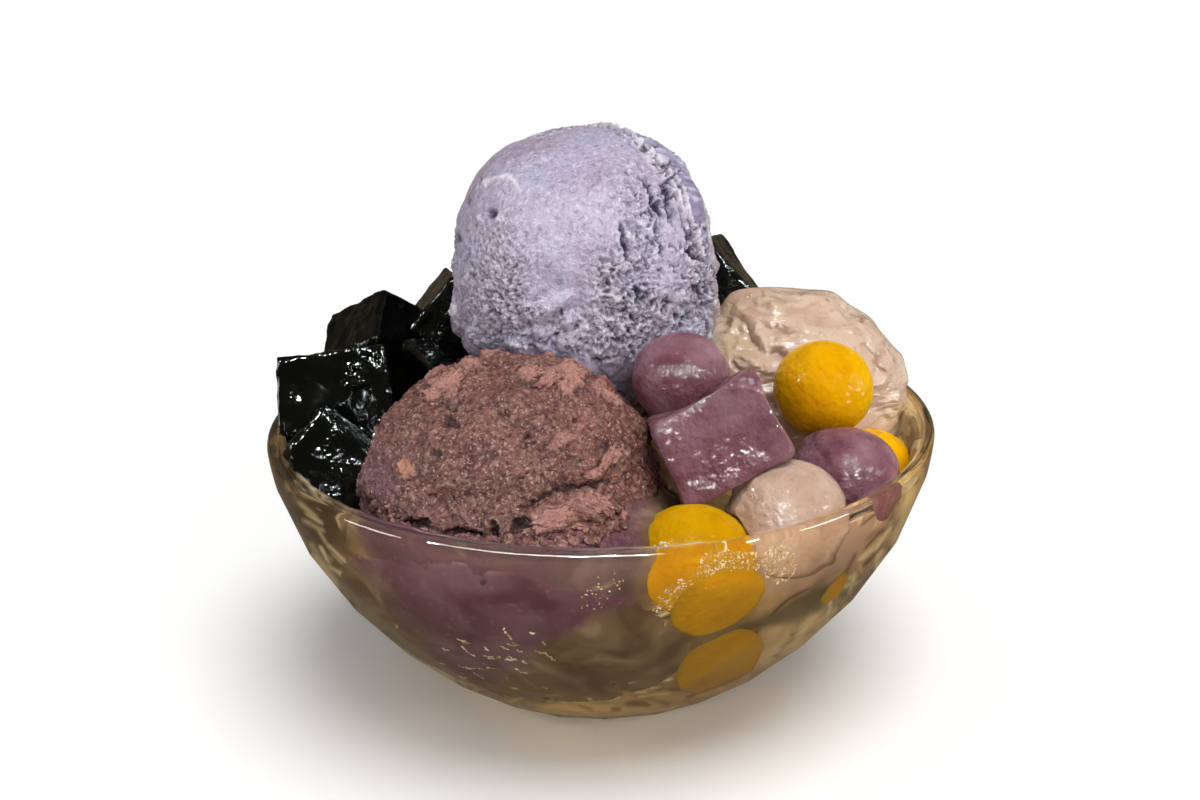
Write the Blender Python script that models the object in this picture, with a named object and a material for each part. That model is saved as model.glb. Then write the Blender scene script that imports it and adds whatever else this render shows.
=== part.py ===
"""A cut-glass bowl heaped with grass jelly dessert.

The bowl stands on its foot with the middle of the foot at the origin. Its shaved ice carries a scoop of ice
cream, a scoop of coarse taro mash on a bed of smooth mash, a scoop of pale taro paste, soft taro and yam
balls on the right and cubes of black grass jelly on the left and at the back. -Y is the side with the mash.
"""

import math

import bmesh
import bpy
from mathutils import Euler, Vector, noise

MM = 0.001

# Driving sizes of the glass
RIM_RADIUS = 80 * MM
BOWL_HEIGHT = 66 * MM
FOOT_RADIUS = 30 * MM
WALL = 3.0 * MM
FLOOR = 5.0 * MM
BELLY = 1.75  # how soon the side turns upright
FLARE = 1.28  # how flat it leaves the foot
BAND_HEIGHT = 9 * MM  # the plain band under the lip
LIP_ROUND = 1.0 * MM
FACET_ROWS = 6
FACET_ROW_GROWTH = 1.35  # 1 for rows of equal height; more makes the low rows, on the flat of the side, lower
FACETS_AROUND = 22
ROUND_STEPS = 2 * FACETS_AROUND  # sides of what is turned, a multiple of the facets
FOOT_HOLLOW_RADIUS = 22 * MM
FOOT_HOLLOW_DEPTH = 1.0 * MM
ROOM_ROWS = 6  # how many steps the inside's side is turned in
ROOM_ROW_GROWTH = 1.2

# Driving sizes of the filling
CLEARANCE = 0.3 * MM  # between pieces that touch
ICE_LEVEL = 58 * MM  # where the shaved ice meets the glass
ICE_CROWN = 60 * MM  # its height in the middle
ICE_ROUGHNESS = 2.0 * MM
ICE_GRAIN = 70  # lumps in a metre
ICE_STEPS = 20
ICE_ROWS = 4
ICE_CROWN_RINGS = 3
BALL_HOLLOW_AT = (54, -38, 70)  # the hollow in the ice that the balls lie in
BALL_HOLLOW_SIZE = (46, 44, 26)
BALL_HOLLOW_SEGMENTS = 12
BALL_HOLLOW_RINGS = 6
HEAP_TOP = 150 * MM  # above everything in the bowl
BALL_SEGMENTS = 12
BALL_RINGS = 7
BALL_GRAIN = 1.3  # lumps across a half width
BALL_LUMPS = 0.05  # their height as a share of it

GLASS = {"color": (0.86, 0.86, 0.82), "roughness": 0.05, "transmission": 1.0}
SHAVED_ICE = {"color": (0.30, 0.23, 0.15), "roughness": 0.35}
ICE_CREAM = {"color": (0.52, 0.48, 0.66), "roughness": 0.55}
COARSE_MASH = {"color": (0.26, 0.13, 0.12), "roughness": 0.70}
SMOOTH_MASH = {"color": (0.20, 0.09, 0.11), "roughness": 0.45}
TARO_PASTE = {"color": (0.70, 0.50, 0.38), "roughness": 0.45}
PURPLE_DOUGH = {"color": (0.27, 0.12, 0.18), "roughness": 0.25}
YELLOW_DOUGH = {"color": (0.78, 0.38, 0.01), "roughness": 0.22}
CREAM_DOUGH = {"color": (0.62, 0.43, 0.33), "roughness": 0.25}
GRASS_JELLY = {"color": (0.006, 0.008, 0.007), "roughness": 0.08}

# Rolled balls: middle, half widths and finish. Each is a little uneven.
BALLS = {
    "purple_ball_1": ((18.4, -26.0, 84.0), (11.2, 11.0, 10.6), PURPLE_DOUGH),
    "purple_ball_2": ((55.0, -30.0, 61.0), (13.4, 12.0, 11.2), PURPLE_DOUGH),
    "yellow_ball_1": ((52.3, -13.0, 76.2), (11.7, 11.4, 11.3), YELLOW_DOUGH),
    "yellow_ball_2": ((65.0, -8.0, 52.5), (10.6, 10.4, 10.8), YELLOW_DOUGH),
    "yellow_ball_3": ((20.3, -57.5, 54.0), (12.6, 12.2, 12.0), YELLOW_DOUGH),
    "yellow_ball_4": ((25.5, -52.0, 39.0), (11.2, 11.0, 10.6), YELLOW_DOUGH),
    "yellow_ball_5": ((28.5, -38.5, 19.5), (11.4, 10.8, 9.8), YELLOW_DOUGH),
    "yellow_ball_6": ((51.5, -8.0, 25.0), (10.8, 10.8, 10.4), YELLOW_DOUGH),
    "cream_ball": ((39.8, -49.0, 59.5), (14.2, 13.0, 12.8), CREAM_DOUGH),
}
BALL_TURN = (20, 35, 0)  # degrees about X, Y and Z from one ball to the next, so that no two look alike

# Cut pieces: middle, size and turn in degrees about X, Y and Z
BLOCKS = {
    "purple_block": ((25.8, -41.0, 75.0), (28.0, 20.0, 22.0), (-18.0, -25.0, 6.0)),
}
JELLY_CUBES = (
    ((-63.0, 3.5, 69.5), (28.0, 23.0, 24.0), (-20.0, -7.0, 0.0)),
    ((-56.0, 26.0, 73.0), (21.0, 22.0, 24.0), (-34.0, 38.0, 32.0)),
    ((-62.5, -24.0, 63.5), (21.0, 18.0, 20.0), (-22.0, 40.0, -8.0)),
    ((-35.5, 27.0, 82.0), (18.0, 20.0, 20.0), (-14.0, -47.0, 20.0)),
    ((-38.0, 9.0, 70.0), (20.0, 20.0, 20.0), (10.0, 8.0, 30.0)),
    ((-60.0, 6.0, 47.0), (22.0, 22.0, 20.0), (5.0, 12.0, 8.0)),
    ((-42.0, 45.0, 57.0), (22.0, 22.0, 22.0), (8.0, -6.0, 38.0)),
    ((-17.0, 52.0, 78.5), (23.0, 22.0, 22.0), (14.0, 10.0, 22.0)),
    ((7.0, 52.0, 79.5), (22.0, 23.0, 22.0), (-10.0, 12.0, -14.0)),
    ((28.8, 46.0, 82.5), (21.5, 22.0, 22.0), (-18.0, 48.0, -24.0)),
    ((-15.5, 53.0, 56.5), (22.0, 22.0, 21.0), (-4.0, 5.0, 15.0)),
    ((10.5, 53.0, 57.0), (22.0, 22.0, 21.0), (4.0, -5.0, -12.0)),
    ((35.0, 46.0, 58.5), (22.0, 21.0, 22.0), (6.0, 5.0, -36.0)),
)
CUBE_EDGE = 1.0 * MM
BLOCK_EDGE = 3.5 * MM
KNIFE_SLIP = 0.9 * MM  # how far a cut cube's corners stray
KNIFE_GRAIN = 3.7
BLOCK_SEED = 4.4

# Scoops and lumps: middle and half widths
ICE_CREAM_AT = (-1.5, 9.0, 99.5)
ICE_CREAM_SIZE = (32.8, 32.8, 34.8)
COARSE_MASH_AT = (-20.3, -34.0, 60.5)
COARSE_MASH_SIZE = (33.6, 32.6, 31.5)
SMOOTH_MASH_AT = (-16.0, -45.0, 44.0)
SMOOTH_MASH_SIZE = (43.0, 38.0, 27.0)
TARO_PASTE_AT = (47.0, 17.0, 61.8)
TARO_PASTE_SIZE = (30.6, 25.0, 29.4)
SOLE_BULGE = 0.12  # how much of its roundness a scoop keeps underneath
CROWN_SQUARENESS = 2.3  # 2 is a round crown


def outer_radius(height):
    """Radius of the bowl's outside, before its facets are cut."""
    drop = (1 - height / BOWL_HEIGHT) ** BELLY
    return FOOT_RADIUS + (RIM_RADIUS - FOOT_RADIUS) * (1 - drop) ** (1 / FLARE)


def wall_point(height, inset):
    """Radius and height of the point that lies inset under the outside, square to it."""
    rise = 1 - height / BOWL_HEIGHT
    lean = (1 - rise**BELLY) ** (1 / FLARE - 1) * BELLY * rise ** (BELLY - 1)
    slope = (RIM_RADIUS - FOOT_RADIUS) / FLARE * lean / BOWL_HEIGHT
    length = math.hypot(1, slope)
    return outer_radius(height) - inset / length, height + inset * slope / length


def wall_station(height, inset):
    """The height on the outside whose point, set in by the inset, lies at the given height."""
    low, high = 0.5 * MM, BOWL_HEIGHT
    for _ in range(30):
        middle = (low + high) / 2
        if wall_point(middle, inset)[1] < height:
            low = middle
        else:
            high = middle
    return high


def facet_heights(top, rows):
    """Heights that part the side into rows of about equal length along it."""
    return [top * (row / rows) ** FACET_ROW_GROWTH for row in range(rows + 1)]


def room_profile(inset, floor, ceiling, rows=ROOM_ROWS):
    """The inside of the bowl, set in from the outside, from its open top down to the axis."""
    start = wall_station(floor, inset)
    side = [wall_point(start + (BOWL_HEIGHT - start) * (row / rows) ** ROOM_ROW_GROWTH, inset)
            for row in range(rows + 1)]
    return [(0, ceiling), (side[-1][0], ceiling)] + side[::-1] + [(0, floor)]


def collection(name):
    made = bpy.data.collections.new(name)
    bpy.context.scene.collection.children.link(made)
    return made


def finish(name, color, roughness, transmission=0.0):
    material = bpy.data.materials.new(name)
    material.use_nodes = True
    surface = material.node_tree.nodes["Principled BSDF"]
    surface.inputs["Base Color"].default_value = (*color, 1)
    surface.inputs["Roughness"].default_value = roughness
    surface.inputs["Metallic"].default_value = 0
    surface.inputs["Transmission Weight"].default_value = transmission
    return material


def add_object(name, shape, where, place=(0, 0, 0), turn=(0, 0, 0)):
    """Makes an object of a bmesh, with its origin at the place and turned about X, Y and Z in degrees.

    Its faces are split into triangles, so that the larger copy that cuts its neighbours has the same ones.
    """
    bmesh.ops.triangulate(shape, faces=shape.faces)
    mesh = bpy.data.meshes.new(name)
    shape.to_mesh(mesh)
    shape.free()
    made = bpy.data.objects.new(name, mesh)
    made.location = Vector(place) * MM
    made.rotation_euler = Euler([math.radians(angle) for angle in turn])
    where.objects.link(made)
    return made


def smooth(piece, angle=40):
    piece.data.shade_smooth()
    piece.data.set_sharp_from_angle(angle=math.radians(angle))


def turned(profile, steps):
    """A closed turned shape from a profile whose two ends are on the axis."""
    shape = bmesh.new()
    points = [shape.verts.new((radius, 0, height)) for radius, height in profile]
    edges = [shape.edges.new(pair) for pair in zip(points, points[1:])]
    bmesh.ops.spin(shape, geom=points + edges, axis=(0, 0, 1), cent=(0, 0, 0), angle=math.tau, steps=steps,
                   use_merge=True)
    bmesh.ops.remove_doubles(shape, verts=shape.verts, dist=0.001 * MM)
    bmesh.ops.recalc_face_normals(shape, faces=shape.faces)
    return shape


def cutter(name, shape, where):
    made = add_object(name, shape, where)
    made.hide_render = True
    made.display_type = "WIRE"
    return made


def boolean(piece, other, operation):
    modifier = piece.modifiers.new(other.name, "BOOLEAN")
    modifier.operation = operation
    modifier.object = other
    modifier.solver = "EXACT"


def faceted_body():
    """The outside of the bowl: rings of points, each turned half a facet from the last, pulled tight."""
    shape = bmesh.new()
    band_start = BOWL_HEIGHT - BAND_HEIGHT
    for row, height in enumerate(facet_heights(band_start, FACET_ROWS)):
        for facet in range(FACETS_AROUND):
            angle = math.tau * (facet + row % 2 / 2) / FACETS_AROUND
            radius = outer_radius(height)
            shape.verts.new((radius * math.cos(angle), radius * math.sin(angle), height))
    lip = [(BOWL_HEIGHT - LIP_ROUND * (1 - math.sin(a)), RIM_RADIUS - LIP_ROUND * (1 - math.cos(a)))
           for a in (0, math.pi / 4, math.pi / 2)]
    for height, radius in [(band_start + 2 * MM, outer_radius(band_start + 2 * MM))] + lip:
        for step in range(ROUND_STEPS):
            angle = math.tau * step / ROUND_STEPS
            shape.verts.new((radius * math.cos(angle), radius * math.sin(angle), height))
    hull = bmesh.ops.convex_hull(shape, input=shape.verts)
    unused = hull["geom_interior"] + hull["geom_unused"]
    inside = [part for part in unused if isinstance(part, bmesh.types.BMVert)]
    bmesh.ops.delete(shape, geom=inside, context="VERTS")
    bmesh.ops.recalc_face_normals(shape, faces=shape.faces)
    return shape


def bowl(parts, cutters):
    glass = add_object("glass_bowl", faceted_body(), parts)
    room = room_profile(WALL, FLOOR, HEAP_TOP)
    flare = [(room[1][0] + LIP_ROUND, HEAP_TOP), (room[1][0] + LIP_ROUND, BOWL_HEIGHT)]
    softened = [(room[0][0], HEAP_TOP)] + flare + [(room[2][0], BOWL_HEIGHT - LIP_ROUND)] + room[3:]
    boolean(glass, cutter("cut_room", turned(softened, ROUND_STEPS), cutters), "DIFFERENCE")
    hollow = [(0, FOOT_HOLLOW_DEPTH), (FOOT_HOLLOW_RADIUS, FOOT_HOLLOW_DEPTH)]
    hollow += [(FOOT_HOLLOW_RADIUS, -WALL), (0, -WALL)]
    boolean(glass, cutter("cut_foot_hollow", turned(hollow, FACETS_AROUND), cutters), "DIFFERENCE")
    smooth(glass, 8)
    glass.data.materials.append(finish("pressed_glass", **GLASS))
    return glass


def lump(size, segments, rings, rule, sole=1.0):
    """A round lump with the given half widths. The rule says how far out each direction reaches, near 1.

    The sole is how far down the lump stays round, as a share of its half height: below it is nearly flat.
    """
    shape = bmesh.new()
    bmesh.ops.create_uvsphere(shape, u_segments=segments, v_segments=rings, radius=1)
    for vert in shape.verts:
        reach = rule(vert.co.normalized())
        if vert.co.z < -sole:
            vert.co.z = -sole + (vert.co.z + sole) * SOLE_BULGE
        vert.co = Vector([axis * width * reach * MM for axis, width in zip(vert.co, size)])
    return shape


def uneven(direction, seed, grain, depth):
    return depth * noise.noise(direction * grain + Vector((seed, seed * 0.37, -seed)))


def ice_cream_rule(direction):
    """Smooth crown, ragged lower lip, and torn ridges down the right side."""
    square = sum(abs(axis) ** CROWN_SQUARENESS for axis in direction) ** (-1 / CROWN_SQUARENESS)
    crown = (square - 1) * min(1.0, max(0.0, 2 * direction.z + 0.4))
    lip = 0.05 * math.exp(-(((direction.z + 0.35) / 0.18) ** 2))
    ragged = 0.09 * abs(uneven(direction, 3.1, 6.0, 1.0)) * (direction.z < 0.1)
    round_the_side = math.atan2(direction.y, direction.x)
    tear = 0.07 * (0.5 + 0.5 * math.sin(9 * round_the_side + 5 * direction.z)) * max(0.0, direction.x - 0.25)
    tuck = -0.10 * max(0.0, -direction.z - 0.62)
    return 1 + crown + lip + ragged - tear + tuck + uneven(direction, 1.7, 1.8, 0.04)


def coarse_mash_rule(direction):
    """A grainy dome with a broken lower lip."""
    lip = 0.06 * math.exp(-(((direction.z + 0.45) / 0.14) ** 2))
    broken = 0.11 * abs(uneven(direction, 8.3, 5.0, 1.0)) * (direction.z < -0.2)
    return 1 + lip - broken + uneven(direction, 5.9, 4.5, 0.05)


def smooth_mash_rule(direction):
    return 1 + uneven(direction, 12.4, 2.2, 0.05)


def taro_paste_rule(direction):
    """Smeared by the scoop in long slanting ridges."""
    along = direction.x * 0.5 + direction.z * 0.86
    ridge = 0.028 * math.sin(13 * along + 2.5 * direction.y)
    return 1 + ridge + uneven(direction, 15.2, 3.0, 0.06)


def cut_block(size, edge, segments, seed):
    """A block from a knife: its corners stray, and its edges are softened."""
    shape = bmesh.new()
    bmesh.ops.create_cube(shape, size=1)
    for vert in shape.verts:
        corner = vert.co.normalized()
        slip = Vector([uneven(corner, seed + 9 * axis, KNIFE_GRAIN, 2 * KNIFE_SLIP) for axis in range(3)])
        vert.co = Vector([axis * width * MM for axis, width in zip(vert.co, size)]) + slip
    bmesh.ops.bevel(shape, geom=shape.edges, offset=edge, segments=segments, profile=0.5, affect="EDGES")
    return shape


def shaved_ice():
    """The mound that fills the bowl, level at the glass and higher in the middle."""
    inset = WALL + 2 * CLEARANCE
    side = room_profile(inset, FLOOR + 2 * CLEARANCE, HEAP_TOP, ICE_ROWS)[2:]
    wall = [point for point in side if point[1] < ICE_LEVEL - ICE_ROUGHNESS]
    brim = wall_point(wall_station(ICE_LEVEL, inset), inset)[0]
    crown = []
    for ring in range(ICE_CROWN_RINGS):
        across = ring / ICE_CROWN_RINGS
        crown.append((brim * across, ICE_LEVEL + (ICE_CROWN - ICE_LEVEL) * (1 - across**2)))
    shape = turned(crown + [(brim, ICE_LEVEL)] + wall, ICE_STEPS)
    for vert in shape.verts:
        if vert.co.z > ICE_LEVEL + 1 * MM:
            vert.co.z += ICE_ROUGHNESS * noise.noise(vert.co * ICE_GRAIN)
    return shape


def grown(piece, cutters):
    """The same shape standing out by the clearance, to cut the pieces that touch this one."""
    made = bpy.data.objects.new("round_" + piece.name, piece.data)
    made.location = piece.location
    made.rotation_euler = piece.rotation_euler
    made.hide_render = True
    made.display_type = "WIRE"
    cutters.objects.link(made)
    swell = made.modifiers.new("clearance", "DISPLACE")
    swell.mid_level = 0
    swell.strength = 1.5 * CLEARANCE
    return made


def drop_crumbs(piece):
    """Keeps the largest body of a piece where its neighbours have cut crumbs off it."""
    seen = piece.evaluated_get(bpy.context.evaluated_depsgraph_get())
    shape = bmesh.new()
    shape.from_mesh(seen.to_mesh())
    left = set(shape.verts)
    bodies = []
    while left:
        body = {left.pop()}
        edge = set(body)
        while edge:
            edge = {link.other_vert(vert) for vert in edge for link in vert.link_edges} - body
            body |= edge
        left -= body
        bodies.append(body)
    largest = max(bodies, key=len)
    crumbs = [vert for body in bodies if body is not largest for vert in body]
    bmesh.ops.delete(shape, geom=crumbs, context="VERTS")
    piece.modifiers.clear()
    shape.to_mesh(piece.data)
    shape.free()


def box_of(piece):
    bpy.context.view_layer.update()
    corners = [piece.matrix_world @ Vector(corner) for corner in piece.bound_box]
    return [(min(c[axis] for c in corners), max(c[axis] for c in corners)) for axis in range(3)]


def near(first, second):
    """Whether two pieces' boxes come within reach of each other."""
    reach = 2 * CLEARANCE
    return all(a[0] - reach < b[1] and b[0] - reach < a[1] for a, b in zip(box_of(first), box_of(second)))


def nestle(pieces, cutters):
    """Each piece gives way to those before it in the list, as soft food does to firmer food beside it."""
    shapes = [grown(piece, cutters) for piece in pieces]
    for number, piece in enumerate(pieces):
        for other in range(number):
            if near(piece, pieces[other]):
                boolean(piece, shapes[other], "DIFFERENCE")


def main():
    for old in list(bpy.data.objects):
        bpy.data.objects.remove(old)
    parts = collection("bowl_of_grass_jelly_dessert")
    cutters = collection("cutters")

    bowl(parts, cutters)
    room = room_profile(WALL + CLEARANCE, FLOOR + CLEARANCE, HEAP_TOP)
    room_shape = cutter("room_less_clearance", turned(room, ROUND_STEPS), cutters)

    jelly = finish("grass_jelly", **GRASS_JELLY)
    firm = []
    for number, (place, size, turn) in enumerate(JELLY_CUBES, 1):
        cube = add_object(f"jelly_cube_{number}", cut_block(size, CUBE_EDGE, 1, number), parts, place, turn)
        cube.data.materials.append(jelly)
        firm.append(cube)

    doughs = {}
    for name, (place, size, look) in BALLS.items():
        seed = len(doughs) + len(firm) * 1.3
        shape = lump(size, BALL_SEGMENTS, BALL_RINGS,
                     lambda direction: 1 + uneven(direction, seed, BALL_GRAIN, BALL_LUMPS))
        ball = add_object(name, shape, parts, place, [angle * seed for angle in BALL_TURN])
        kind = name.split("_")[0]
        if kind not in doughs:
            doughs[kind] = finish(kind + "_dough", **look)
        ball.data.materials.append(doughs[kind])
        smooth(ball)
        firm.append(ball)
    for name, (place, size, turn) in BLOCKS.items():
        block = add_object(name, cut_block(size, BLOCK_EDGE, 2, BLOCK_SEED), parts, place, turn)
        block.data.materials.append(doughs["purple"])
        smooth(block)
        firm.append(block)

    soft = []
    for name, place, size, segments, rings, rule, sole, look in (
        ("taro_mash_scoop", COARSE_MASH_AT, COARSE_MASH_SIZE, 20, 12, coarse_mash_rule, 0.45, COARSE_MASH),
        ("taro_paste_scoop", TARO_PASTE_AT, TARO_PASTE_SIZE, 18, 10, taro_paste_rule, 0.45, TARO_PASTE),
        ("ice_cream_scoop", ICE_CREAM_AT, ICE_CREAM_SIZE, 22, 12, ice_cream_rule, 0.80, ICE_CREAM),
        ("taro_mash_bed", SMOOTH_MASH_AT, SMOOTH_MASH_SIZE, 14, 8, smooth_mash_rule, 1.0, SMOOTH_MASH),
    ):
        scoop = add_object(name, lump(size, segments, rings, rule, sole), parts, place)
        scoop.data.materials.append(finish(name, **look))
        smooth(scoop)
        soft.append(scoop)

    ice = add_object("shaved_ice_base", shaved_ice(), parts)
    ice.data.materials.append(finish("shaved_ice", **SHAVED_ICE))
    smooth(ice)
    hollow_shape = lump(BALL_HOLLOW_SIZE, BALL_HOLLOW_SEGMENTS, BALL_HOLLOW_RINGS, lambda direction: 1)
    hollow = cutter("cut_ball_hollow", hollow_shape, cutters)
    hollow.location = Vector(BALL_HOLLOW_AT) * MM
    boolean(ice, hollow, "DIFFERENCE")

    filling = firm + soft + [ice]
    nestle(filling, cutters)
    for piece in firm + soft:
        boolean(piece, room_shape, "INTERSECT")
    drop_crumbs(ice)


main()
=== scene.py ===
import math
from itertools import product

import bmesh
import bpy
import numpy as np
from mathutils import Euler, Matrix, Vector, noise
from mathutils.bvhtree import BVHTree


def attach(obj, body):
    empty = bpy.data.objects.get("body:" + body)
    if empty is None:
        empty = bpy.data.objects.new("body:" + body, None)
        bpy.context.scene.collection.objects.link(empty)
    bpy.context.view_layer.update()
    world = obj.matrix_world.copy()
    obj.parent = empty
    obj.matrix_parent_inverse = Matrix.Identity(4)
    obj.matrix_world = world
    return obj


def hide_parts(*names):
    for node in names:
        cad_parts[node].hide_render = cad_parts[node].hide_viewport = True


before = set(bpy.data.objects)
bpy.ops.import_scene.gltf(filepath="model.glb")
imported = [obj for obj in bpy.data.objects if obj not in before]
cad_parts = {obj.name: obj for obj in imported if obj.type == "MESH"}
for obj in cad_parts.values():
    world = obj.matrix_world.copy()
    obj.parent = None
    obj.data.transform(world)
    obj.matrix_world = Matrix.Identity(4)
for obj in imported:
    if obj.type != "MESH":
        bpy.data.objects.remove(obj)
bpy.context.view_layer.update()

mm = 0.001  # every size below is in millimetres

# The photograph's frame in pixels, and the camera that fits it
photoView = {
    "wide": 1200, "high": 800, "lens": 53.23, "sensor": 36.0,
    "distance": 430.0, "lookDown": 20.12, "aimHeight": 69.8, "roll": -1.2,
}


def toLinear(hexCode):  # sRGB hex to what shaders take
    parts = [int(hexCode[i:i + 2], 16) / 255 for i in (1, 3, 5)]
    return tuple(p / 12.92 if p <= 0.04045 else ((p + 0.055) / 1.055) ** 2.4 for p in parts) + (1.0,)


def addNode(tree, kind, settings=None, links=None, stops=None):
    # one shader node with its settings, its sockets' links or values, and a ramp's stops
    made = tree.nodes.new("ShaderNode" + kind)
    for name, value in (settings or {}).items():
        setattr(made, name, value)
    if stops:
        ramp = made.color_ramp.elements
        while len(ramp) < len(stops):
            ramp.new(0.5)
        for element, (place, color) in zip(ramp, stops):
            element.position = place
            element.color = toLinear(color) if isinstance(color, str) else (color, color, color, 1)
    for name, value in (links or {}).items():
        socket = made.inputs[name] if isinstance(name, int) else next(
            s for s in made.inputs if s.enabled and s.name == name)
        if isinstance(value, bpy.types.Node):
            value = next(s for s in value.outputs if s.enabled)
        if isinstance(value, bpy.types.NodeSocket):
            tree.links.new(value, socket)
        else:
            socket.default_value = value
    return made


def layered(tree, color, layers):  # colours laid over one another, each by a mark's name or by a node
    for share, over in layers:
        if isinstance(share, str):
            share = addNode(tree, "Attribute", {"attribute_name": share}).outputs["Fac"]
        over = toLinear(over) if isinstance(over, str) else over
        color = addNode(tree, "Mix", {"data_type": "RGBA"}, {"Factor": share, "A": color, "B": over})
    return color


def newMaterial(name):  # an empty material, its tree and its object coordinates
    made = bpy.data.materials.new(name)
    made.use_nodes = True
    made.node_tree.nodes.clear()
    return made, made.node_tree, addNode(made.node_tree, "TexCoord").outputs["Object"]


def surfaced(made, shader):  # the material, ended with the node that gives its surface
    out = made.node_tree.nodes.new("ShaderNodeOutputMaterial")
    made.node_tree.links.new(shader.outputs[0], out.inputs["Surface"])
    return made


def cameraAxes():  # eye, right, up and look directions of the camera, in millimetres
    down, roll = math.radians(photoView["lookDown"]), math.radians(photoView["roll"])
    look = np.array((0, math.cos(down), -math.sin(down)))
    up = np.array((0, math.sin(down), math.cos(down)))
    right = np.array((1.0, 0, 0))
    eye = np.array((0, 0, photoView["aimHeight"])) - look * photoView["distance"]
    right, up = right * math.cos(roll) + up * math.sin(roll), up * math.cos(roll) - right * math.sin(roll)
    return eye, right, up, look


def toPixels(points):  # where points fall in the 1200 by 800 photograph
    eye, right, up, look = cameraAxes()
    away = points - eye
    zoom = photoView["lens"] / photoView["sensor"] * photoView["wide"] / (away @ look)
    return photoView["wide"] / 2 + zoom * (away @ right), photoView["high"] / 2 - zoom * (away @ up)


def sightLine(px, py):  # the line of sight through a pixel of the photograph
    eye, right, up, look = cameraAxes()
    zoom = photoView["lens"] / photoView["sensor"] * photoView["wide"]
    ray = look + right * (px - photoView["wide"] / 2) / zoom - up * (py - photoView["high"] / 2) / zoom
    return eye, ray / np.linalg.norm(ray)


def makeGrain(seed):  # a smooth random field: takes points in cells, gives about -1 to 1
    draw = np.random.default_rng(seed)
    order = draw.permutation(1024)
    slopes = draw.normal(size=(1024, 3))
    slopes /= np.linalg.norm(slopes, axis=1)[:, None]

    def grain(points):
        low = np.floor(points).astype(np.int64)
        part = points - low
        ease = part ** 3 * (part * (part * 6 - 15) + 10)
        total = np.zeros(len(points))
        for corner in product((0, 1), repeat=3):
            cell = (low + corner) & 1023
            pick = order[(order[(order[cell[:, 0]] + cell[:, 1]) & 1023] + cell[:, 2]) & 1023]
            weight = np.prod(np.where(corner, ease, 1 - ease), axis=1)
            total += weight * ((part - corner) * slopes[pick]).sum(1)
        return total * 1.5
    return grain


def cloudy(points, size, seed, octaves=3, rough=0.5):  # layers of grain, the first with cells of this size
    total, height, reach = np.zeros(len(points)), 1.0, 0.0
    for octave in range(octaves):
        total += height * makeGrain(seed + octave)(points / size * 2 ** octave)
        reach += height
        height *= rough
    return total / reach


def pebbly(points, size, seed):  # distance to the nearest of scattered points, in cells, and its own number
    draw = np.random.default_rng(seed)
    order, jitter = draw.permutation(1024), draw.random((1024, 3))
    low = np.floor(points / size).astype(np.int64)
    part = points / size - low
    nearest, owner = np.full(len(points), 9.0), np.zeros(len(points), np.int64)
    for step in product((-1, 0, 1), repeat=3):
        cell = (low + step) & 1023
        pick = order[(order[(order[cell[:, 0]] + cell[:, 1]) & 1023] + cell[:, 2]) & 1023]
        gap = np.linalg.norm(jitter[pick] + step - part, axis=1)
        closer = gap < nearest
        nearest, owner = np.where(closer, gap, nearest), np.where(closer, pick, owner)
    return nearest, owner / 1024


def unevenAt(directions, seed, grainSize, depth):  # the same unevenness that the solids have
    shift = Vector((seed, seed * 0.37, -seed))
    return depth * np.array([noise.noise(Vector(d) * grainSize + shift) for d in directions])


def fade(values, start, end):  # 0 at start, 1 at end, smooth between
    part = np.clip((values - start) / (end - start), 0, 1)
    return part * part * (3 - 2 * part)


def cubeGrid(steps):  # the surface of a cube of half width 1, with a grid on each side and its edges welded
    u, v = np.meshgrid(steps, steps, indexing="ij")
    one, count = np.ones_like(u), len(steps)
    sides = [(one, u, v), (-one, v, u), (v, one, u), (u, -one, v), (u, v, one), (v, u, -one)]
    points = np.concatenate([np.stack(side, -1).reshape(-1, 3) for side in sides])
    row = np.arange(count * count).reshape(count, count)
    quads = np.stack([row[:-1, :-1], row[1:, :-1], row[1:, 1:], row[:-1, 1:]], -1).reshape(-1, 4)
    faces = np.concatenate([quads + side * count * count for side in range(6)])
    _, first, place = np.unique(np.round(points * 1e5).astype(np.int64), axis=0,
                                return_index=True, return_inverse=True)
    return points[first], place.reshape(-1)[faces]


def ballGrid(count):  # directions spread evenly over a ball, and the faces between them
    points, faces = cubeGrid(np.tan(np.linspace(-1, 1, count + 1) * math.pi / 4))
    return points / np.linalg.norm(points, axis=1)[:, None], faces


def addMarks(mesh, marks):  # values at every point, which a material reads by their name
    for mark, values in marks.items():
        mesh.attributes.new(mark, "FLOAT", "POINT").data.foreach_set("value", values.astype(np.float32))


def makePiece(name, points, faces, material, marks=None):  # a mesh piece from arrays in millimetres
    mesh = bpy.data.meshes.new(name)
    mesh.vertices.add(len(points))
    mesh.vertices.foreach_set("co", (points * mm).astype(np.float32).ravel())
    mesh.loops.add(faces.size)
    mesh.loops.foreach_set("vertex_index", faces.astype(np.int32).ravel())
    mesh.polygons.add(len(faces))
    mesh.polygons.foreach_set("loop_start", np.arange(0, faces.size, faces.shape[1], dtype=np.int32))
    mesh.update(calc_edges=True)
    addMarks(mesh, marks or {})
    mesh.shade_smooth()
    mesh.materials.append(material)
    piece = bpy.data.objects.new(name, mesh)
    bpy.context.scene.collection.objects.link(piece)
    return piece


def standIn(piece, slot, *nodes):  # the piece rides on the one body and stands for these CAD nodes
    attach(piece, "root")
    if nodes:
        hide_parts(*nodes)


def treeOf(mesh):  # a mesh's surface, for casting rays at it
    return BVHTree.FromPolygons([v.co for v in mesh.vertices], [p.vertices[:] for p in mesh.polygons])


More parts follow.
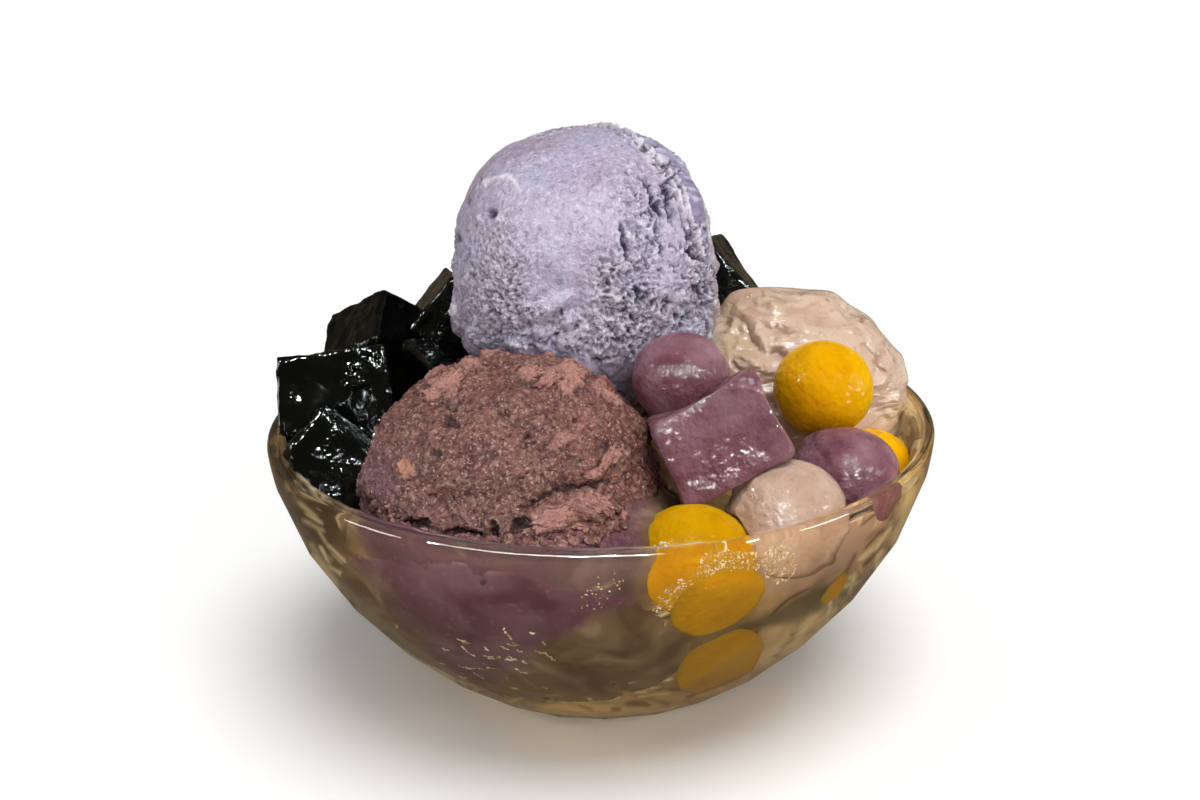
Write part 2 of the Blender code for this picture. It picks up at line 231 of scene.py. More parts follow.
def keepToSolid(points, centre, nodeName, slack, give):
    # draws points back to their CAD solid's surface where a neighbour has cut into it, and says where that is
    tree, start = treeOf(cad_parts[nodeName].data), Vector(centre) * mm
    length = np.linalg.norm(points, axis=1)
    rays = points / length[:, None]
    solid = np.array([tree.ray_cast(start, Vector(ray))[3] or 0.0 for ray in rays]) / mm
    touching = np.clip((length - solid - slack) / give, 0, 1)
    return rays * (length * (1 - touching) + solid * touching)[:, None], touching


bowlShape = {
    "rim": 80.0, "high": 66.0, "foot": 30.0, "wall": 3.0, "floor": 5.0, "belly": 1.75, "flare": 1.28,
    "band": 9.0, "rows": 6, "facets": 22, "steps": 132, "lip": 1.2, "hollowWide": 22.0, "hollowDeep": 1.0,
    "facetSoftness": 0.25,  # how far in the facets' edges are rounded by the fire polish
    "reachIn": 0.15,  # how far the filling goes into the glass, so that no air shows between
}


def outerRadius(height):
    drop = np.clip(1 - height / bowlShape["high"], 0, 1) ** bowlShape["belly"]
    return bowlShape["foot"] + (bowlShape["rim"] - bowlShape["foot"]) * (1 - drop) ** (1 / bowlShape["flare"])


def wallPoint(height, inset):  # the point that lies inset under the outside, square to it
    rise = 1 - height / bowlShape["high"]
    belly, flare = bowlShape["belly"], bowlShape["flare"]
    lean = (1 - rise ** belly) ** (1 / flare - 1) * belly * rise ** (belly - 1)
    slope = (bowlShape["rim"] - bowlShape["foot"]) / flare * lean / bowlShape["high"]
    long = np.hypot(1, slope)
    return outerRadius(height) - inset / long, height + inset * slope / long


def insideProfile(inset, floor):  # radii and heights of the inside, from the floor up to the rim
    heights = bowlShape["high"] * np.linspace(0.004, 1, 400) ** 1.5
    radii, rises = wallPoint(heights, inset)
    keep = rises > floor
    return radii[keep], rises[keep]


def keepInGlass(points, reachIn=bowlShape["reachIn"]):  # draws points inside the bowl, or just into its wall
    radii, rises = insideProfile(bowlShape["wall"] - reachIn, bowlShape["floor"] - reachIn)
    kept = points.copy()
    kept[:, 2] = np.maximum(kept[:, 2], bowlShape["floor"] - reachIn)
    room = np.interp(kept[:, 2], rises, radii)
    across = np.maximum(np.hypot(kept[:, 0], kept[:, 1]), 1e-6)
    kept[:, :2] *= np.minimum(1, room / across)[:, None]
    return kept


def meetGlass(points, near, reachIn):  # what lies close to the glass goes just into it, so no air shows
    radii, rises = insideProfile(bowlShape["wall"], bowlShape["floor"])
    met = points.copy()
    lift = met[:, 2] - bowlShape["floor"]
    lowered = bowlShape["floor"] - reachIn + fade(lift, near / 2, near) * (lift + reachIn)
    met[:, 2] = np.where(lift < near, lowered, met[:, 2])
    room = np.interp(met[:, 2], rises, radii)
    across = np.maximum(np.hypot(met[:, 0], met[:, 1]), 1e-6)
    pull = (1 - fade(room - across, near / 2, near)) * fade(bowlShape["high"] - met[:, 2], 1.0, 3.0)
    wanted = across * (1 - pull) + (room + reachIn) * pull
    met[:, :2] *= (wanted / across)[:, None]
    return met


def drawnToGlass(points, directions, reach, reachIn):  # what is seen through the glass lies flat against it
    toEye = cameraAxes()[0] - points
    toEye /= np.linalg.norm(toEye, axis=1)[:, None]
    facing = (directions * toEye).sum(1)
    radii, rises = insideProfile(bowlShape["wall"] - reachIn, bowlShape["floor"] - reachIn)
    steps = np.linspace(0, reach, 160)
    gap = np.full((len(steps), len(points)), 1.0)
    for row, step in enumerate(steps):
        at = points + toEye * step
        gap[row] = np.interp(at[:, 2], rises, radii) - np.hypot(at[:, 0], at[:, 1])
        gap[row, at[:, 2] > bowlShape["high"]] = 1.0
    meets = (gap <= 0).any(0)
    away = steps[np.argmax(gap <= 0, axis=0)]
    met = points + toEye * away[:, None]
    pull = meets * fade(facing, 0.04, 0.22) * (1 - fade(away, reach * 0.8, reach))
    pull *= fade(bowlShape["high"] - met[:, 2], 0.3, 1.1)
    # painted shade along the outline of what is drawn to the glass
    edgeShade = meets * (1 - fade(facing, 0.2, 0.5)) * fade(met[:, 2], 64, 60)
    return points + (met - points) * pull[:, None], edgeShade


def roomLeft(points):  # how far points are from the inside of the glass, level
    radii, rises = insideProfile(bowlShape["wall"], bowlShape["floor"])
    return np.interp(points[:, 2], rises, radii) - np.hypot(points[:, 0], points[:, 1])


def ringOf(shape, radius, height, count, turn=0.0):
    for step in range(count):
        angle = math.tau * (step + turn) / count
        shape.verts.new((radius * math.cos(angle) * mm, radius * math.sin(angle) * mm, height * mm))


def cleanObject(name, shape, modifiers=()):  # a finished mesh object from a bmesh and its modifiers
    mesh = bpy.data.meshes.new(name + "Raw")
    shape.to_mesh(mesh)
    shape.free()
    raw = bpy.data.objects.new(name + "Raw", mesh)
    bpy.context.scene.collection.objects.link(raw)
    for kind, settings in modifiers:
        made = raw.modifiers.new(kind.lower(), kind)
        for key, value in settings.items():
            setattr(made, key, value)
    bpy.context.view_layer.update()
    done = bpy.data.meshes.new_from_object(raw.evaluated_get(bpy.context.evaluated_depsgraph_get()))
    done.name = name
    bpy.data.objects.remove(raw)
    piece = bpy.data.objects.new(name, done)
    bpy.context.scene.collection.objects.link(piece)
    return piece


def turnedShape(profile, steps):  # a closed turned bmesh; the profile's ends are on the axis
    shape = bmesh.new()
    line = [shape.verts.new((radius * mm, 0, height * mm)) for radius, height in profile]
    edges = [shape.edges.new(pair) for pair in zip(line, line[1:])]
    bmesh.ops.spin(shape, geom=line + edges, axis=(0, 0, 1), cent=(0, 0, 0), angle=math.tau, steps=steps,
                   use_merge=True)
    bmesh.ops.remove_doubles(shape, verts=shape.verts, dist=0.001 * mm)
    bmesh.ops.recalc_face_normals(shape, faces=shape.faces)
    return shape


def facetedOutside():  # rings of points, each turned half a facet from the last, drawn tight together
    shape, lip = bmesh.new(), bowlShape["lip"]
    bandStart = bowlShape["high"] - bowlShape["band"]
    for row in range(bowlShape["rows"] + 1):
        height = bandStart * (row / bowlShape["rows"]) ** 1.35
        ringOf(shape, float(outerRadius(height)), height, bowlShape["facets"], row % 2 / 2)
    for height in (bandStart + 2, bandStart + 5):
        ringOf(shape, float(outerRadius(height)), height, bowlShape["steps"])
    for angle in np.linspace(0, math.pi / 2, 5):
        ringOf(shape, bowlShape["rim"] - lip * (1 - math.cos(angle)),
               bowlShape["high"] - lip * (1 - math.sin(angle)), bowlShape["steps"])
    hull = bmesh.ops.convex_hull(shape, input=shape.verts)
    loose = hull["geom_interior"] + hull["geom_unused"]
    loose = [part for part in loose if isinstance(part, bmesh.types.BMVert)]
    bmesh.ops.delete(shape, geom=loose, context="VERTS")
    bmesh.ops.dissolve_limit(shape, angle_limit=math.radians(0.3), verts=shape.verts, edges=shape.edges)
    bandStart = (bandStart + 0.5) * mm
    facetEdges = [edge for edge in shape.edges
                  if max(v.co.z for v in edge.verts) < bandStart and edge.calc_face_angle(0) > 0.02]
    bmesh.ops.bevel(shape, geom=facetEdges, offset=bowlShape["facetSoftness"] * mm, segments=2, profile=0.5,
                    affect="EDGES", clamp_overlap=True)
    bmesh.ops.recalc_face_normals(shape, faces=shape.faces)
    return shape


glassLook = {
    "body": "#bdb5a4", "foot": "#cfb280", "lip": "#b3a692", "shadow": "#d6d1c7",
    "footFade": (30, 9), "lipFade": (65.6, 66.6),  # heights between which the body's tint turns into theirs
    "flanks": (((-50, -70), "#a89a80"), ((50, 74), "#ccb284")),  # from where to where sideways, and the tint
    "clear": 0.995, "milky": 0.93,  # how much light goes through the body and through the lip
    "wave": 0.011, "waveHeight": 0.9,
}


def pressedGlass():
    # Soda-lime tableware glass, pressed and fire polished. The eye gets warm slices of the filling in every
    # facet, a milky warm-grey lip where the wall is seen edge on, and a bright line along it.
    look = glassLook
    made, tree, place = newMaterial("pressedSodaGlass")
    apart = addNode(tree, "SeparateXYZ", links={"Vector": place}).outputs

    def between(value, ends, course="SMOOTHSTEP"):
        return addNode(tree, "MapRange", {"interpolation_type": course}, {
            "Value": value, "From Min": ends[0] * mm, "From Max": ends[1] * mm}).outputs["Result"]

    lip = between(apart["Z"], look["lipFade"])
    flanks = [(between(apart["X"], ends, "LINEAR"), hexCode) for ends, hexCode in look["flanks"]]
    tint = layered(tree, toLinear(look["body"]), [
        (between(apart["Z"], look["footFade"]), look["foot"]), *flanks, (lip, look["lip"])])
    through = addNode(tree, "MapRange", links={
        "Value": lip, "To Min": look["clear"], "To Max": look["milky"]}).outputs["Result"]
    wavy = addNode(tree, "TexNoise", links={"Vector": place, "Scale": 1 / look["wave"], "Detail": 1.5})
    relief = addNode(tree, "Bump", links={
        "Strength": 0.25, "Distance": look["waveHeight"] * mm, "Height": wavy})
    glass = addNode(tree, "BsdfPrincipled", links={
        "Base Color": tint, "Roughness": 0.015, "IOR": 1.46, "Specular IOR Level": 0.0,
        "Transmission Weight": through, "Normal": relief,
        "Coat Weight": 0.4, "Coat Roughness": 0.03, "Coat IOR": 1.4, "Coat Normal": relief})
    clear = addNode(tree, "BsdfTransparent", links={"Color": toLinear(look["shadow"])})
    shaded = addNode(tree, "LightPath").outputs["Is Shadow Ray"]
    return surfaced(made, addNode(tree, "MixShader", links={"Fac": shaded, 1: glass, 2: clear}))


def makeBowl():
    high, lip, wide, deep = (bowlShape[key] for key in ("high", "lip", "hollowWide", "hollowDeep"))
    radii, rises = insideProfile(bowlShape["wall"], bowlShape["floor"])
    pick = np.linspace(0, len(radii) - 1, 30).astype(int)
    inside = [(radii[i], rises[i]) for i in pick if rises[i] < high - lip]
    mouth = float(outerRadius(high)) - bowlShape["wall"]
    curl = [(mouth + lip * (1 - math.cos(a)), high - lip * (1 - math.sin(a)))
            for a in np.linspace(0.15, math.pi / 2, 5)]
    above = high + 20
    room = turnedShape([(0, bowlShape["floor"])] + inside + curl + [(curl[-1][0], above), (0, above)],
                       bowlShape["steps"])
    hollow = turnedShape([(0, deep), (wide - 0.8, deep), (wide, deep - 0.8), (wide, -5), (0, -5)],
                         bowlShape["steps"])
    cutters = [cleanObject("roomCutter", room), cleanObject("hollowCutter", hollow)]
    cuts = [("BOOLEAN", {"operation": "DIFFERENCE", "object": cutter, "solver": "EXACT"})
            for cutter in cutters]
    bowl = cleanObject("glassBowl", facetedOutside(), cuts)
    for cutter in cutters:
        bpy.data.objects.remove(cutter)
    bowl.data.shade_smooth()
    bowl.data.set_sharp_from_angle(angle=math.radians(40))
    even = bowl.modifiers.new("evenNormals", "WEIGHTED_NORMAL")
    even.weight = 100
    even.keep_sharp = True
    bowl.data.materials.clear()
    bowl.data.materials.append(pressedGlass())
    standIn(bowl, "pressed_glass", "glass_bowl")


print("bowl: facets, room and foot")
makeBowl()


balls = {  # middle and half widths
    "purple_ball_1": ((18.4, -26.0, 84.0), (11.2, 11.0, 10.6)),
    "purple_ball_2": ((55.0, -30.0, 61.0), (13.4, 12.0, 11.2)),
    "yellow_ball_1": ((52.3, -13.0, 76.2), (11.7, 11.4, 11.3)),
    "yellow_ball_2": ((65.0, -8.0, 52.5), (10.6, 10.4, 10.8)),
    "yellow_ball_3": ((20.3, -57.5, 54.0), (12.6, 12.2, 12.0)),
    "yellow_ball_4": ((25.5, -52.0, 39.0), (11.2, 11.0, 10.6)),
    "yellow_ball_5": ((28.5, -38.5, 19.5), (11.4, 10.8, 9.8)),
    "yellow_ball_6": ((51.5, -8.0, 25.0), (10.8, 10.8, 10.4)),
    "cream_ball": ((39.8, -49.0, 59.5), (14.2, 13.0, 12.8)),
}
pressedBalls = {
    # These show through the glass: how far they are drawn to it, how far in, how drowned in syrup, how far
    # the softer real ball sags out of its solid's place, its width and height against the solid's, its lean.
    "yellow_ball_3": (15, 0.24, 0.04, (-1.0, 0, 0), (1.04, 1, 0)),
    "yellow_ball_4": (44, 0.34, 0.58, (-1.0, 0, 3.2), (1.00, 0.38, 24)),
    "yellow_ball_5": (44, 0.28, 0.52, (-2.8, 0, 1.2), (0.95, 0.32, 26)),
    "yellow_ball_6": (64, 0.28, 0.45, (5.8, 0, -5.6), (0.40, 0.70, -28)),
    "cream_ball": (15, 0.20, 0.32, (0, 0, 0), (1, 1, 0)),
    "purple_ball_2": (14, 0.18, 0.10, (0, 0, 0), (1, 1, 0)),
    "yellow_ball_2": (10, 0.20, 0.10, (0, 0, 0), (1, 1, 0)),
}
ballSkin = {
    "open": 37, "sunk": 26, "sunkReach": 30,  # faces along a side, fewer for balls drawn further than this
    "bumps": ((0.030, 9.0, 40), (0.012, 3.2, 70)),  # how deep, of what size, and the seed
    "slack": (0.7, 0.5),  # how far it may stand out of its solid, and how softly it is drawn back
}
# these balls are darkened with painted shade where their neighbours shade them
shadedBalls = {"yellow_ball_3": 0.28}  # balls in the shade of their neighbours
doughLook = {
    "purple": {"deep": "#643a46", "main": "#805763", "pale": "#96727e", "speck": "#532a3c",
               "syrupAndShade": "#5a3f24", "glow": 0.35, "peel": 0.9, "bead": 0.0013, "wet": 0.9},
    "yellow": {"deep": "#cb8f03", "main": "#dfa103", "pale": "#e6ac08", "speck": "#cf8c02",
               "syrupAndShade": "#7c6800", "glow": 0.8, "peel": 1.0, "bead": 0.0016, "wet": 0.5},
    "cream": {"deep": "#a98a76", "main": "#bfa28f", "pale": "#c9b2a1", "speck": "#a5826e",
              "syrupAndShade": "#6b5036", "glow": 0.35, "peel": 0.9, "bead": 0.0013, "wet": 0.9},
}


def boiledDough(kind):
    # Taro, yam and sweet potato worked into starch dough and boiled: a soft glow under a wet skin, whose tiny
    # bumps break the lamps' reflection into sparks.
    look = doughLook[kind]
    made, tree, place = newMaterial(kind + "BoiledDough")
    clouds = addNode(tree, "TexNoise", links={"Vector": place, "Scale": 1 / 0.0085, "Detail": 3.0})
    tones = addNode(tree, "ValToRGB", links={"Fac": clouds},
                    stops=[(0.30, look["deep"]), (0.5, look["main"]), (0.72, look["pale"])])
    fibres = addNode(tree, "TexNoise", links={"Vector": place, "Scale": 1 / 0.0010, "Detail": 2.0})
    specks = addNode(tree, "ValToRGB", links={"Fac": fibres}, stops=[(0.63, 0.0), (0.72, 0.45)])
    beads = addNode(tree, "TexNoise", links={
        "Vector": place, "Scale": 1 / look["bead"], "Detail": 1.0, "Roughness": 0.5})
    peel = addNode(tree, "Bump", links={"Strength": look["peel"], "Distance": 0.5 * mm, "Height": beads})
    skin = addNode(tree, "Bump", links={
        "Strength": 0.3, "Distance": 0.2 * mm, "Height": fibres, "Normal": peel})
    # the syrup's stain and painted shade both darken the dough towards one colour
    return surfaced(made, addNode(tree, "BsdfPrincipled", links={
        "Base Color": layered(tree, tones, [(specks, look["speck"]), ("syrupAndShade", look["syrupAndShade"])]),
        "Roughness": 0.5, "IOR": 1.42, "Specular IOR Level": 0.0, "Normal": skin,
        "Subsurface Weight": look["glow"], "Subsurface Radius": (1.0, 0.6, 0.4), "Subsurface Scale": 3.5 * mm,
        "Coat Weight": look["wet"], "Coat Roughness": 0.03, "Coat IOR": 1.36, "Coat Normal": peel}))


def leaned(points, wide, tall, lean):  # stretched sideways and upwards, then turned as the camera sees it
    across, rise = points[:, 0] * wide, points[:, 2] * tall
    return np.stack([across * math.cos(lean) - rise * math.sin(lean), points[:, 1],
                     across * math.sin(lean) + rise * math.cos(lean)], 1)


def makeBalls():
    looks = {kind: boiledDough(kind) for kind in doughLook}
    for number, (name, (middle, half)) in enumerate(balls.items()):
        kind, pressed = name.split("_")[0], pressedBalls.get(name)
        sunk = pressed is not None and pressed[0] > ballSkin["sunkReach"]
        directions, faces = ballGrid(ballSkin["sunk" if sunk else "open"])
        # painted shade on the balls that their neighbours shade
        bumps, syrupAndShade = np.ones(len(directions)), np.full(len(directions), shadedBalls.get(name, 0.0))
        for depth, size, seed in ballSkin["bumps"]:
            bumps += depth * cloudy(directions * 10, size, seed + number)
        points = directions * half * bumps[:, None]
        if not sunk:
            points = keepToSolid(points, middle, name, *ballSkin["slack"])[0]
        if pressed:
            reach, reachIn, syrup, sag, (wide, tall, lean) = pressed
            lean = math.radians(lean)
            square = leaned(directions, 1 / wide, 1 / tall, lean)
            square /= np.linalg.norm(square, axis=1)[:, None]
            points = leaned(points, wide, tall, lean) + middle + sag
            points, edgeShade = drawnToGlass(points, square, reach, reachIn)
            points = keepInGlass(points, reachIn)
            # syrup stains the lower part, and painted shade darkens the outline
            soaked = syrup * fade(points[:, 2], 62, 50) + (0.2 if sunk else 0.65) * edgeShade
            syrupAndShade = np.maximum(syrupAndShade, np.clip(soaked, 0, 0.9))
        else:
            points = keepInGlass(points + middle)
        pieceName = name.replace("_b", "B").replace("_", "")
        standIn(makePiece(pieceName, points, faces, looks[kind], {"syrupAndShade": syrupAndShade}), kind + "_dough", name)


print("balls of boiled dough")
makeBalls()


# Marks are drawn on the photograph, in its pixels. They fall on the side of a piece that the camera sees.


def facingCamera(points, directions):  # 1 where a surface faces the camera, 0 where it turns away
    toEye = cameraAxes()[0] - points
    toEye /= np.linalg.norm(toEye, axis=1)[:, None]
    return fade((directions * toEye).sum(1), 0.02, 0.2)


def ellipseAt(pixels, place, radii, turn):  # 1 on an ellipse, less inside it and more outside
    angle = math.radians(turn)
    across, down = pixels[0] - place[0], pixels[1] - place[1]
    along = (across * math.cos(angle) + down * math.sin(angle)) / radii[0]
    aside = (down * math.cos(angle) - across * math.sin(angle)) / radii[1]
    return np.hypot(along, aside)


def spot(pixels, place, radii, turn=0.0, soft=0.3):  # 1 inside an ellipse, 0 outside
    return 1 - fade(ellipseAt(pixels, place, radii, turn), 1 - soft, 1 + soft)


def nearLine(pixels, line):  # distance to a line through some points, and how far along it, 0 to 1
    best, along = np.full(len(pixels[0]), 1e9), np.zeros(len(pixels[0]))
    spans = [math.dist(a, b) for a, b in zip(line, line[1:])]
    done = 0.0
    for a, b, span in zip(line, line[1:], spans):
        step = ((b[0] - a[0]) / span, (b[1] - a[1]) / span)
        part = np.clip((pixels[0] - a[0]) * step[0] + (pixels[1] - a[1]) * step[1], 0, span)
        away = np.hypot(pixels[0] - a[0] - step[0] * part, pixels[1] - a[1] - step[1] * part)
        closer = away < best
        best, along = np.where(closer, away, best), np.where(closer, (done + part) / sum(spans), along)
        done += span
    return best, along


def crackAt(pixels, line, wide):  # 1 along a crack's middle, tapered to both its ends
    away, along = nearLine(pixels, line)
    taper = np.sqrt(np.clip(np.minimum(along, 1 - along) * 5, 0, 1))
    return np.exp(-(away / (wide * (0.35 + 0.65 * taper))) ** 2) * taper


def strewn(draw, place, halves, slope, spread, count, longest):  # short strokes about a place, near one slope
    lines = []
    for _ in range(count):
        x, y = np.clip(draw.normal(size=2) * 0.5, -1, 1) * halves + place
        lean, half = math.radians(slope + draw.normal() * spread), draw.uniform(0.25, 1) * longest / 2
        lines.append([(x - half * math.cos(lean), y - half * math.sin(lean)),
                      (x + half * math.cos(lean), y + half * math.sin(lean))])
    return lines


def startLump(look, rule, nodeName):  # a scoop about its own middle, and the pixels where the camera sees it
    directions, faces = ballGrid(look["grid"])
    directions += (0, -0.28, 0.10)  # the finer faces are in front
    directions /= np.linalg.norm(directions, axis=1)[:, None]
    flat = directions.copy()
    low = flat[:, 2] < -look["sole"]
    flat[low, 2] = -look["sole"] + (flat[low, 2] + look["sole"]) * 0.12
    points, touching = keepToSolid(
        flat * look["half"] * rule(directions)[:, None], look["middle"], nodeName, look["slack"], 1.0)
    size, seed, rough, far = look["wander"]
    wander = np.stack([cloudy(points, size, seed, 3, rough), cloudy(points, size, seed + 3, 3, rough)])
    pixels = np.array(toPixels(points + look["middle"])) + wander * far
    return directions, points, faces, touching, facingCamera(points + look["middle"], directions), pixels


def raised(look, points, rise, touching):  # a scoop's points with their relief, in its place
    length = np.linalg.norm(points, axis=1)
    return points * ((length + rise * (1 - touching)) / length)[:, None] + look["middle"]


iceCream = {
    "middle": (-1.5, 9.0, 99.5), "half": (32.8, 32.8, 34.8), "sole": 0.80, "grid": 119, "slack": 1.6,
    "wander": (3.0, 11, 0.5, 3.5),  # the waver in its marks: size, seed, roughness, how far in pixels
    "tearAxis": (0.854, 0.459, 0.246), "tearAt": 0.42,  # the scoop tore its layers round this line
    "edgeAxis": (0.951, 0.295, -0.097), "edgeAt": 0.68,  # and once more where it left the tub
    "strata": 0.043, "strataHeight": 0.75,
    "wormSize": 1.35, "wormHeight": 0.50, "fineSize": 0.95, "fineHeight": 0.22,
    # where its ridges stand open: middle, half sizes, turn, how much
    "roughZones": (((493, 288), (36, 62), 10, 0.75), ((626, 300), (32, 52), 0, 1.25),
                   ((540, 330), (80, 26), 8, 0.55), ((640, 215), (18, 46), -18, 0.8),
                   ((704, 300), (26, 62), 0, 1.2), ((668, 336), (50, 16), -12, 1.0)),
    # cracks and raised lips by line, width and depth or height; pits by middle, half sizes and depth
    "cracks": (([(636, 174), (643, 181), (649, 191), (653, 203), (661, 222)], 1.9, 2.0),
               ([(657, 182), (662, 190), (666, 198), (669, 205), (671, 215), (680, 214)], 2.7, 2.2),
               ([(672, 200), (675, 198)], 2.6, 2.0), ([(620, 223), (623, 240), (627, 262)], 2.0, 1.9),
               ([(648, 190), (651, 205), (654, 214)], 1.3, 1.1),
               ([(684, 246), (694, 256), (704, 262)], 2.2, 1.3),
               ([(712, 277), (716, 284), (719, 292)], 1.8, 1.3), ([(704, 282), (708, 296)], 2.0, 1.2),
               ([(662, 316), (664, 310), (668, 306)], 1.9, 1.3),
               ([(590, 360), (600, 362), (612, 359)], 2.4, 1.3),
               ([(633, 285), (638, 294), (635, 306)], 1.7, 1.2), ([(645, 262), (650, 270)], 1.6, 0.9)),
    "lips": (([(630, 142), (650, 148), (672, 162)], 6.0, 0.2),
             ([(441, 282), (446, 302), (459, 318)], 4.0, 1.0),
             ([(474, 190), (490, 181), (508, 177), (523, 190)], 2.2, 0.5),
             ([(476, 220), (482, 217)], 3.2, 0.7),
             ([(640, 155), (655, 165), (664, 178), (673, 190), (681, 204), (690, 219), (699, 236)], 2.0, 0.9),
             ([(686, 250), (694, 276), (697, 296)], 2.0, 0.6), ([(590, 350), (604, 352)], 3.0, 0.6),
             ([(505, 335), (512, 344), (530, 349)], 2.6, 0.6)),
    "pits": (((491, 213), (4.5, 4.5), 1.7), ((480, 182), (2.2, 4), 1.2), ((465, 199), (5, 3), 1.1),
             ((646, 147), (5, 4), 1.2), ((656, 149), (3, 5), 0.9), ((561, 312), (2, 3.5), 0.9),
             ((456, 238), (4, 5), 0.9), ((676, 317), (3, 3), 1.0), ((694, 288), (3, 5), 1.0)),
    "ring": ((606, 308), 12.5, 1.7, 0.7),  # a round mark on its front: middle, radius, width, height
    # where painted bluish shade lies low on its front: middle, half sizes, turn
    "bluishShadeSpot": ((535, 345), (40, 12), 10),
    # short nicks where the skin tore: middle, half sizes, slope, spread of slopes, how many, the longest
    "nicks": (((656, 205), (18, 44), 62, 16, 26, 16), ((640, 300), (44, 44), 40, 60, 52, 11),
              ((700, 285), (20, 62), 70, 30, 40, 14), ((500, 300), (38, 50), 30, 60, 34, 8),
              ((668, 168), (22, 36), -28, 14, 26, 16), ((560, 340), (70, 20), 10, 30, 24, 9)),
}


def iceCreamRule(d):
    square = (np.abs(d) ** 2.3).sum(1) ** (-1 / 2.3)
    crown = (square - 1) * np.clip(2 * d[:, 2] + 0.4, 0, 1)
    lip = 0.05 * np.exp(-(((d[:, 2] + 0.35) / 0.18) ** 2))
    ragged = 0.09 * np.abs(unevenAt(d, 3.1, 6.0, 1.0)) * fade(d[:, 2], 0.2, 0.0)
    tear = 0.05 * np.maximum(0, d[:, 0] - 0.25)
    tuck = -0.10 * np.maximum(0, -d[:, 2] - 0.62)
    return 1 + crown + lip + ragged - tear + tuck + unevenAt(d, 1.7, 1.8, 0.04)


def scoopedIceCream():
    # Taro ice cream, churned, frozen and torn by the scoop. The eye gets a frosty lavender skin of curled
    # ridges a millimetre apart, with painted pinkish-white highlight on their tops and painted dull purple
    # shade between, and painted dark shade in the pits and cracks where it tore.
    made, tree, place = newMaterial("scoopedTaroIceCream")
    clouds = addNode(tree, "TexNoise", links={
        "Vector": place, "Scale": 1 / 0.016, "Detail": 4.0, "Roughness": 0.55})
    color = addNode(tree, "ValToRGB", links={"Fac": clouds},
                    stops=[(0.36, "#a595ab"), (0.48, "#aea2b9"), (0.60, "#aea8c0"), (0.72, "#a5a2bf")])
    icy = addNode(tree, "Attribute", {"attribute_name": "icy"}).outputs["Fac"]
    curls = addNode(tree, "TexNoise", links={
        "Vector": place, "Scale": 1 / 0.0013, "Detail": 3.0, "Roughness": 0.62, "Distortion": 0.9})
    # painted highlight on the ridges' tops and painted shade in the gaps between them
    crestHighlight = addNode(tree, "ValToRGB", links={"Fac": curls}, stops=[(0.53, 0.0), (0.68, 1.0)])
    gapShade = addNode(tree, "ValToRGB", links={"Fac": curls}, stops=[(0.33, 1.0), (0.46, 0.0)])
    crestHighlight, gapShade, height = (addNode(tree, "Math", {"operation": "MULTIPLY"}, {0: value, 1: icy})
                            for value in (crestHighlight, gapShade, curls))
    # the marks paint bluish shade low down, dark shade in the hollows, and highlight on the frosty lips and
    # crests
    color = layered(tree, color, [
        (crestHighlight, "#ebe3ef"), (gapShade, "#4c4362"), ("bluishShade", "#8582a6"), ("warm", "#bfb2b6"),
        ("frostAndHighlight", "#ece7f0"), ("hollowShade", "#241e46")])
    relief = addNode(tree, "Bump", links={"Strength": 1.0, "Distance": 0.85 * mm, "Height": height})
    return surfaced(made, addNode(tree, "BsdfPrincipled", links={
        "Base Color": color, "Roughness": 0.42, "IOR": 1.34, "Normal": relief,
        "Subsurface Weight": 0.08, "Subsurface Radius": (1.0, 0.8, 1.0), "Subsurface Scale": 0.8 * mm}))


def towards(directions, axis):  # how far along an axis each direction points
    return directions @ (np.array(axis) / np.linalg.norm(axis))


